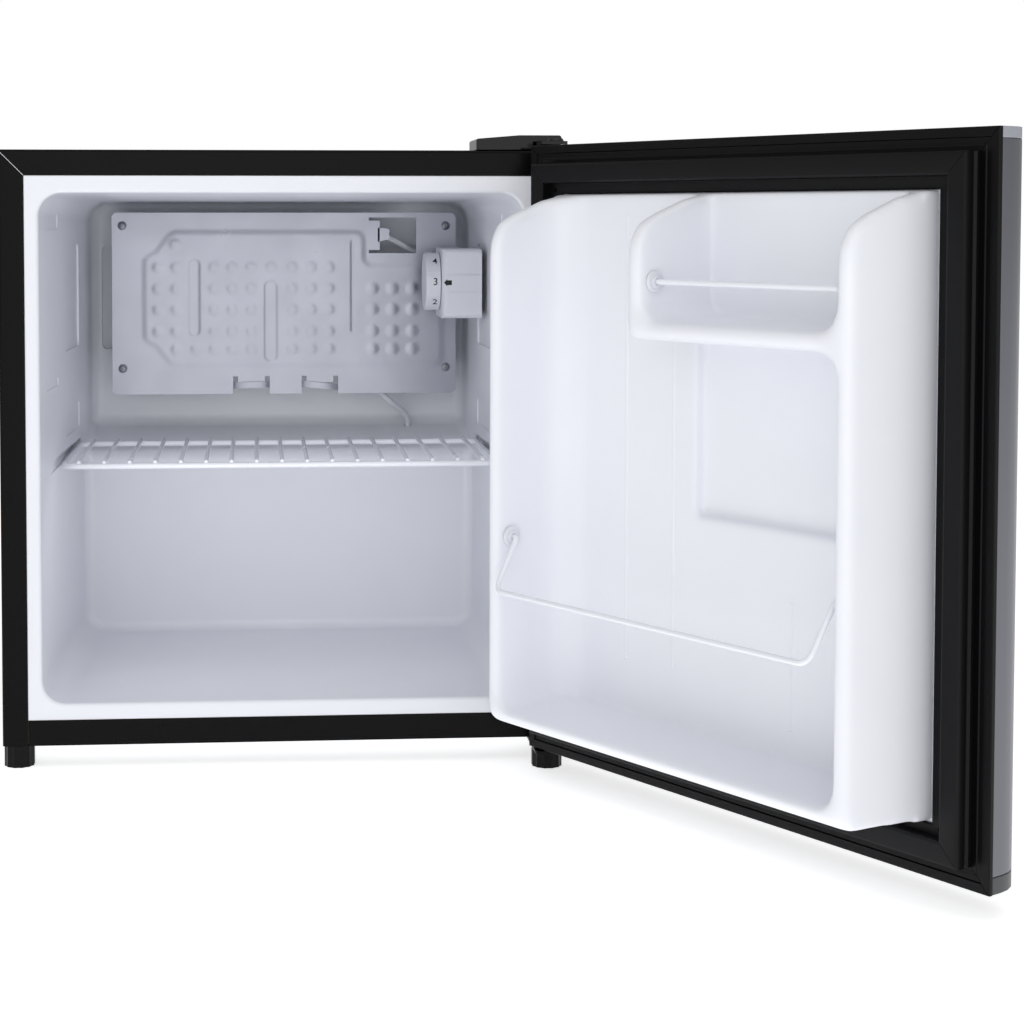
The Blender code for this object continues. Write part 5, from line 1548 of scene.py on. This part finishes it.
@dataclass
class Thermostat:
    """The dial with its numbers and ribs, and the housing with its pointer."""

    frame: Frame
    centre: Point3 = (136.0, 230.0, 373.6)
    radius: float = 26.0
    width: float = 13.4
    near: float = 198.0
    step: float = 44.0

    def build(self) -> None:
        """Makes dial, numbers, housing and pointer."""
        self.dial()
        self.numbers()
        self.housing()

    def dial(self) -> None:
        """The disc, fluted between its numbers."""
        x, y, z = self.centre
        left, right = x - self.width / 2, x + self.width / 2
        disc = fillet(bar((y, z), self.radius, "X", left, right, 128), 1.2, 4, lambda e: steep(e, 60))
        grooves = []
        for number in range(8):
            for part in (13.0, 18.0, 23.0, 28.0):
                angle = math.radians(number * self.step + part)
                if number * self.step + part > 320:
                    continue
                reach = self.radius + 0.15
                centre = (y - reach * math.cos(angle), z + reach * math.sin(angle))
                grooves.append(bar(centre, 0.55, "X", left + 2.0, right + 1, 8))
        bore = bar((y, z), 3.3, "X", left + 2, right + 5, 24)
        disc = carved(disc, (Cut.AWAY, together(*grooves)), (Cut.AWAY, bore))
        place = self.frame.on("dial")
        deliver("dial_moulding", disc, place, WHITE_ABS, ["thermostat_dial"], "white_plastic", 35)

    def numbers(self) -> None:
        """Digits printed round the dial's edge."""
        x, y, z = self.centre
        shapes = []
        for number in range(7):
            angle = (number - 3) * self.step
            digit = self.digit(str(number), 9.0)
            turn = Matrix.Rotation(math.pi / 2, 4, "X")
            stand = Matrix.Translation((x + 1.6, -self.radius - 0.06, 0))
            spin = Matrix.Translation((0, y, z)) @ Matrix.Rotation(math.radians(-angle), 4, "X")
            bmesh.ops.transform(digit, matrix=spin @ stand @ turn, verts=digit.verts)
            shapes.append(digit)
        place = self.frame.on("dial")
        deliver("dial_numbers", together(*shapes), place, INK, slot="white_plastic", weighted=False)

    @staticmethod
    def digit(text: str, size: float) -> BMesh:
        """A printed digit lying on the ground plane, centred on the origin.

        Args:
            text: the digit.
            size: the size of its font in millimetres.

        Returns:
            Its thin solid.
        """
        curve = bpy.data.curves.new("digit", "FONT")
        curve.body, curve.size, curve.extrude, curve.offset = text, size, 0.05, 0.06
        curve.align_x, curve.align_y = "CENTER", "CENTER"
        holder = bpy.data.objects.new("digit", curve)
        bpy.context.scene.collection.objects.link(holder)
        mesh = bpy.data.meshes.new_from_object(holder.evaluated_get(bpy.context.evaluated_depsgraph_get()))
        bm = bmesh.new()
        bm.from_mesh(mesh)
        bpy.data.meshes.remove(mesh)
        bpy.data.objects.remove(holder)
        bpy.data.curves.remove(curve)
        return bm

    def housing(self) -> None:
        """The box beside the dial, with two grooves across its front and a printed pointer."""
        near, far = self.near, self.near + 64
        box = block((143, near, 341.5), (178.2, far, 403))

        def outside(edge: bmesh.types.BMEdge) -> bool:
            """Whether an edge is neither on the wall side nor at the back."""
            return min(v.co.x for v in edge.verts) < 177 and all(v.co.y < far - 1 for v in edge.verts)

        fillet(box, 5, 8, outside)
        _, y, z = self.centre
        grooves = [
            block((146, near - 1, level - 0.35), (182, near + 0.5, level + 0.35)) for level in (380.4, 364.8)
        ]
        body = carved(
            box,
            (Cut.AWAY, block((145, near + 2, 343.5), (181, far - 2, 401))),
            (Cut.AWAY, bar((y, z), 4, "X", 140, 147, 24)),
            (Cut.AWAY, together(*grooves)),
            (Cut.AWAY, bar((168, 385), 3.1, "Y", far - 4, far + 1, 20)),
        )
        place, replaced = self.frame.cabinet, ["thermostat_housing"]
        deliver("thermostat_cover", body, place, WHITE_ABS, replaced, "white_plastic", 35)
        tail = [(147.4, 371.0), (151.5, 371.0), (151.5, 375.2), (147.4, 375.2)]
        arrow = prism([(144.6, 373.1), (147.4, 369.8), *tail, (147.4, 376.4)], "Y", near - 0.08, near + 0.2)
        deliver("dial_pointer", arrow, place, INK, slot="white_plastic", weighted=False)


@dataclass
class PlateScrews:
    """The four cross-recessed screws that hold the plate."""

    frame: Frame
    across: Point2 = (-144.0, 155.1)
    levels: Point2 = (423.0, 291.0)

    def build(self) -> None:
        """Makes the screws."""
        for row, z in zip(("top", "bottom"), self.levels):
            for side, x in zip(("left", "right"), self.across):
                self.screw(f"plate_screw_{row}_{side}", x, z, 12.0 + x + z)

    def screw(self, name: str, x: float, z: float, turn: float) -> None:
        """One screw: a pan head with a rolled edge, a cross recess and a plain shank.

        Args:
            name: the CAD node that it replaces.
            x: its place across the plate.
            z: its level.
            turn: how far its cross is turned, in degrees.
        """
        face = SIZES.plate_front - 0.3
        profile = [
            (0.0, 2.35), (1.6, 2.3), (2.8, 1.9), (3.3, 1.45), (3.5, 1.15), (3.75, 1.1), (4.1, 1.0),
            (4.2, 0.7), (4.2, 0.0), (1.7, 0.0), (1.7, -13.5), (0.0, -13.5),
        ]
        body = turned(profile, (0, 0), 48)
        blades = []
        for angle in (0, 90):
            blade = block((-2.1, -0.42, 0.7), (2.1, 0.42, 4))
            for vert in blade.verts:
                if vert.co.z < 1:
                    vert.co.x *= 0.35
            spin = Matrix.Rotation(math.radians(angle + turn), 3, "Z")
            bmesh.ops.rotate(blade, verts=blade.verts, matrix=spin)
            blades.append(blade)
        body = carved(body, *[(Cut.AWAY, blade) for blade in blades])
        bmesh.ops.rotate(body, verts=body.verts, matrix=Matrix.Rotation(math.pi / 2, 3, "X"))
        bmesh.ops.translate(body, verts=body.verts, vec=(x, face, z))
        deliver(f"{name}_turned", body, self.frame.cabinet, SCREW_ZINC, [name], "zinc", 30)


@dataclass
class WireShelf:
    """The shelf: a bent rail with wires welded across it, all dipped in one coating."""

    frame: Frame
    half: float = 180.0
    front: float = 91.0
    back: float = 260.0
    level: float = 226.0
    rail: float = 2.5
    wire: float = 1.75
    stand: float = 2.3
    pitch: float = 20.9
    count: int = 17

    def build(self) -> None:
        """Makes the shelf."""
        corners = [
            (-self.half, self.front, 12.0),
            (self.half, self.front, 12.0),
            (self.half, self.back, 12.0),
            (-self.half, self.back, 12.0),
        ]
        loop = [Vector((x, y, self.level)) for x, y in rounded(corners, 10)]
        shapes = [tube(loop, self.rail, 20, closed=True)]
        height = self.level + self.rail + self.stand - self.wire
        for i in range(self.count):
            x = (i - (self.count - 1) / 2) * self.pitch
            wire = bar((x, height), self.wire, "Y", self.front - 1, self.back + 1, 16)
            fillet(wire, 0.7, 3, lambda e: steep(e, 60))
            shapes.append(wire)
        place, replaced = self.frame.on("shelf"), ["wire_shelf"]
        deliver("wire_shelf_coated", together(*shapes), place, COATED_WIRE, replaced, "white_wire", 60, False)


@dataclass
class DoorRods:
    """The upper shelf's rod, the swinging bail and their four sockets."""

    frame: Frame
    bay: float = 162.0
    depth: float = 66.0
    rod_level: float = 388.0
    bail_level: float = 197.0
    radius: float = 1.9

    def build(self) -> None:
        """Makes rods and sockets."""
        y = SIZES.face + self.depth
        rod = bar((y, self.rod_level), self.radius, "X", -self.bay - 5, 15, 24)
        deliver("shelf_rod_coated", rod, self.frame.door, COATED_WIRE, ["shelf_rod"], "white_wire")
        end, arm = self.bay + 5, self.bay - 8
        out, level = y + 22, self.bail_level - 37
        route = rounded_route(
            [
                (end, y, self.bail_level),
                (arm, y, self.bail_level),
                (arm - 2, out, level),
                (2 - arm, out, level),
                (-arm, y, self.bail_level),
                (-end, y, self.bail_level),
            ],
            (4.2, 8.5, 8.5, 4.2),
            10,
        )
        bail = tube(route, self.radius, 24)
        place, replaced = self.frame.bail, ["bottle_bail"]
        deliver("bottle_bail_coated", bail, place, COATED_WIRE, replaced, "white_wire", 60, False)
        for name, wall, into, level in (
            ("bail_grommet_hinge_side", self.bay, 1, self.bail_level),
            ("bail_grommet_free_side", -self.bay, -1, self.bail_level),
            ("rod_grommet_hinge_side", 10.0, 1, self.rod_level),
            ("rod_grommet_free_side", -self.bay, -1, self.rod_level),
        ):
            self.socket(name, wall, into, (y, level))

    def socket(self, name: str, wall: float, into: int, centre: Point2) -> None:
        """One socket: a domed flange on the wall and a spigot in it.

        Args:
            name: the CAD node that it replaces.
            wall: where the wall's face is.
            into: the direction into the wall, 1 or -1.
            centre: its depth and level.
        """
        face = wall - into * 0.3
        flange = bar(centre, 7.5, "X", *sorted((face, face - into * 3)), 40)
        fillet(flange, 1.3, 4, lambda e: steep(e, 60))
        spigot = bar(centre, 4.4, "X", *sorted((face - into * 4.2, face + into * 6)), 32)
        fillet(spigot, 0.6, 3, lambda e: steep(e, 60))
        bore = bar(centre, self.radius + 0.3, "X", *sorted((face - into * 6, face + into * 8)), 24)
        body = carved(flange, (Cut.JOIN, spigot), (Cut.AWAY, bore))
        deliver(f"{name}_moulding", body, self.frame.door, WHITE_ABS, [name], "white_plastic", 35)


@dataclass
class DoorSeal:
    """The black frame round the door's inside and the magnetic gasket on it."""

    frame: Frame

    def build(self) -> None:
        """Makes frame and gasket."""
        self.ring()
        self.gasket()

    def ring(self) -> None:
        """The extruded frame, stepped and mitred, with a screw hole near each corner."""
        section = [
            (0, -3), (36, -3), (36, -1.2), (13.2, -1.2), (12.2, -0.7), (10.6, -0.7), (9.8, -1.2),
            (6.6, -1.2), (6.2, -0.1), (5.9, 0), (0.5, 0), (0, -0.5),
        ]
        ring = picture_frame(SIZES.half, SIZES.door_low, SIZES.door_high, SIZES.face, section)
        x = SIZES.half - 31.5
        levels = (SIZES.door_low + 33, SIZES.door_high - 33)
        pits = [
            bar((side * x, level), 1.5, "Y", SIZES.face - 2.4, SIZES.face + 1, 20)
            for side in (-1, 1)
            for level in levels
        ]
        ring = carved(ring, (Cut.AWAY, together(*pits)), (Cut.AWAY, self.mitres(0, 36, -1.1, 0.18)))
        fillet(ring, 0.25, 2, lambda e: steep(e, 50) and e.calc_length() > 60)
        place = self.frame.door
        deliver("door_frame_moulding", ring, place, BLACK_PLASTIC, ["door_frame"], "frame_black", 30)

    @staticmethod
    def mitres(near: float, far: float, sink: float, wide: float) -> BMesh:
        """Four thin blades along the door's corner diagonals.

        Args:
            near: the inset at which they start.
            far: the inset at which they end.
            sink: the depth that they cut to.
            wide: half their thickness.

        Returns:
            The blades.
        """
        front, back = SIZES.face + sink - 0.3, SIZES.face + 16
        levels = ((SIZES.door_low, 1), (SIZES.door_high, -1))
        return together(
            *[
                diagonal((side * SIZES.half, level), (-side, up), (near, far), (front, back), wide)
                for side in (-1, 1)
                for level, up in levels
            ]
        )

    def gasket(self) -> None:
        """The gasket's bulb with its lips and bellows, and the web that runs in under the liner's edge."""
        section = [
            (14.6, -0.8), (14.5, 2.0), (15.2, 3.0), (16.2, 3.7), (15.4, 4.5), (14.7, 6.0), (14.5, 10.4),
            (15.0, 11.9), (16.6, 12.7), (27.4, 12.7), (29.0, 11.9), (29.5, 10.4), (29.3, 5.4), (29.6, 4.2),
            (34.6, 3.6), (35.3, 3.0), (35.5, 1.6), (29.4, 1.4), (28.6, 1.2), (28.4, -0.8),
        ]
        ring = picture_frame(
            SIZES.half, SIZES.door_low, SIZES.door_high, SIZES.face, section, 30, (6.3, 0.4, 2.2)
        )
        pits = [
            bar((side * (SIZES.half - 34.5), level), 1.6, "Y", SIZES.face + 2.4, SIZES.face + 6, 20)
            for side in (-1, 1)
            for level in (SIZES.door_low + 33.6, SIZES.door_high - 34.6)
        ]
        ring = carved(ring, (Cut.AWAY, together(*pits)), (Cut.AWAY, self.mitres(14, 30, 12.65, 0.16)))
        place = self.frame.door
        deliver("door_gasket_extrusion", ring, place, GASKET_PVC, ["door_gasket"], "rubber_black", 28)


@dataclass
class CabinetShell:
    """The folded steel wrapper, whose front strips meet in mitres."""

    frame: Frame
    sheet: float = 0.8
    depth: float = 400.0
    fold: float = 2.4

    def build(self) -> None:
        """Makes the wrapper, and bright slivers for the bare edges of its sheet and for painted highlights on
        its edges.
        """
        self.wrapper()
        self.cut_edges()

    def wrapper(self) -> None:
        """Top and sides in one sheet, turned in at the front."""
        half, low, high, t = SIZES.half, SIZES.foot, SIZES.top, self.sheet
        outer = block((-half, 0, low), (half, self.depth, high))
        fillet(outer, self.fold, 5, lambda e: self.folded(e, half, high))
        inner = block((-half + t, t, low - 5), (half - t, self.depth + 5, high - t))
        mouth = block((-half + SIZES.strip, -5, low - 5), (half - SIZES.strip, t + 5, high - SIZES.strip))
        blades = self.diagonals((1.2, SIZES.strip + 1), (-1, 0.35), 0.22)
        body = carved(outer, (Cut.AWAY, inner), (Cut.AWAY, mouth), (Cut.AWAY, blades))
        place = self.frame.cabinet
        deliver("wrapper_sheet", body, place, CABINET_PAINT, ["outer_wrapper"], "cabinet_black", 30)

    @staticmethod
    def diagonals(insets: Point2, depths: Point2, wide: float) -> BMesh:
        """A thin bar along the diagonal of each upper corner.

        Args:
            insets: how far in from the corner they start and end.
            depths: their front and back.
            wide: half their thickness.

        Returns:
            The two bars.
        """
        corners = [((side * SIZES.half, SIZES.top), (-side, -1)) for side in (-1, 1)]
        return together(*[diagonal(corner, inwards, insets, depths, wide) for corner, inwards in corners])

    def cut_edges(self) -> None:
        """Bright slivers in the mitres and round the mouth: partly the bare cut edges of the sheet, partly
        painted highlights on the strips' edges.
        """
        half, low, high = SIZES.half - SIZES.strip, SIZES.foot + SIZES.strip, SIZES.top - SIZES.strip
        lines = [
            self.diagonals((1.5, SIZES.strip - 0.3), (0.02, 0.34), 0.17),
            block((-half - 0.2, 0.12, low), (-half + 0.06, 0.5, high)),
            block((half - 0.06, 0.12, low), (half + 0.2, 0.5, high)),
            block((-half, 0.12, high - 0.06), (half, 0.5, high + 0.2)),
        ]
        place = self.frame.cabinet
        # Zinc slivers: in part bare cut edges, in part painted highlights along the strips' edges.
        deliver("wrapper_bare_edges_and_painted_highlights", together(*lines), place, ZINC, slot="cabinet_black", weighted=False)

    @staticmethod
    def folded(edge: bmesh.types.BMEdge, half: float, high: float) -> bool:
        """Whether a block's edge is one of the sheet's folds."""
        a, b = (v.co for v in edge.verts)
        front = a.y < 1 and b.y < 1 and (max(a.z, b.z) > high - 1)
        upright = abs(a.x - b.x) < 1 and abs(a.x) > half - 1 and a.y < 1 and b.y < 1
        return front or upright or (a.z > high - 1 and b.z > high - 1 and abs(a.x - b.x) < 1)


REFINED = (
    Refined("bottom_rail", CABINET_PAINT, 0.3),
    Refined("bottom_plate", GALVANISED, 0.3),
    Refined("back_panel", GALVANISED, 0.3),
    Refined("compartment_shell", GALVANISED, 0.3),
    Refined("compressor_base", GALVANISED, 0.4),
    Refined("lower_hinge_bracket", CABINET_PAINT, 0.5),
    Refined("lower_hinge_pin", ZINC, 0.2),
    Refined("top_hinge_plate", GLOSS_BLACK, 0.5),
    Refined("top_hinge_pin", SYSTEM_BLACK, 0.2),
    Refined("top_hinge_screw_left", ZINC, 0.2),
    Refined("top_hinge_screw_right", ZINC, 0.2),
    Refined("top_hinge_cover", GLOSS_BLACK, 0.6),
    Refined("rear_foot_left", BLACK_PLASTIC, 0.5),
    Refined("rear_foot_right", BLACK_PLASTIC, 0.5),
    Refined("front_foot_left", BLACK_PLASTIC, 0.2),
    Refined("front_foot_right", BLACK_PLASTIC, 0.2),
    *[
        Refined(f"plate_post_{n}", WHITE_ABS, 0.4)
        for n in ("top_left", "top_right", "bottom_left", "bottom_right")
    ],
    Refined("thermostat_switch", GALVANISED, 0.3),
    Refined("dial_shaft", ZINC, 0.2),
    Refined("sensing_tube", WHITE_ABS, 0),
    Refined("suction_tube", WHITE_ABS, 0),
    Refined("compressor", SYSTEM_BLACK, 0.6),
    *[
        Refined(f"compressor_grommet_{n}", RUBBER, 0.5)
        for n in ("front_left", "rear_left", "front_right", "rear_right")
    ],
    Refined("relay_cover", BLACK_PLASTIC, 0.4),
    Refined("condenser", SYSTEM_BLACK, 0),
    Refined("filter_drier", COPPER, 0.3),
    Refined("cord_gland", RUBBER, 0.3),
    Refined("door_skin", SILVER_SKIN, 0.25),
    # The top cap takes the lighter copy: painted light on the top of the door.
    Refined("door_top_cap", CAP_GREY_PAINTED_LIT, 0.8),
    Refined("door_bottom_cap", CAP_GREY, 0.8),
    Refined("top_hinge_bush", WHITE_ABS, 0.2),
    Refined("bottom_hinge_bush", WHITE_ABS, 0.2),
)

ASSEMBLIES = (
    CabinetShell,
    CabinetLiner,
    WireShelf,
    EvaporatorPlate,
    PlateScrews,
    Thermostat,
    DoorLiner,
    DoorRods,
    DoorSeal,
)

HIDDEN = {"door_foam": FOAM, "magnet_strip": MAGNET}


def main() -> None:
    """Builds the fridge around its frame, piece by piece."""
    logging.basicConfig(level=logging.INFO, format="%(name)s: %(message)s")
    frame = Frame(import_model())
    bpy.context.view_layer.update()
    Studio(frame).build()
    for assembly in ASSEMBLIES:
        assembly(frame).build()
    for piece in REFINED:
        piece.build(frame)
    for node, finish in HIDDEN.items():
        obj = frame.loaded["nodes"][node]
        obj.data.materials.clear()
        obj.data.materials.append(finish.material())


if __name__ == "__main__":
    main()
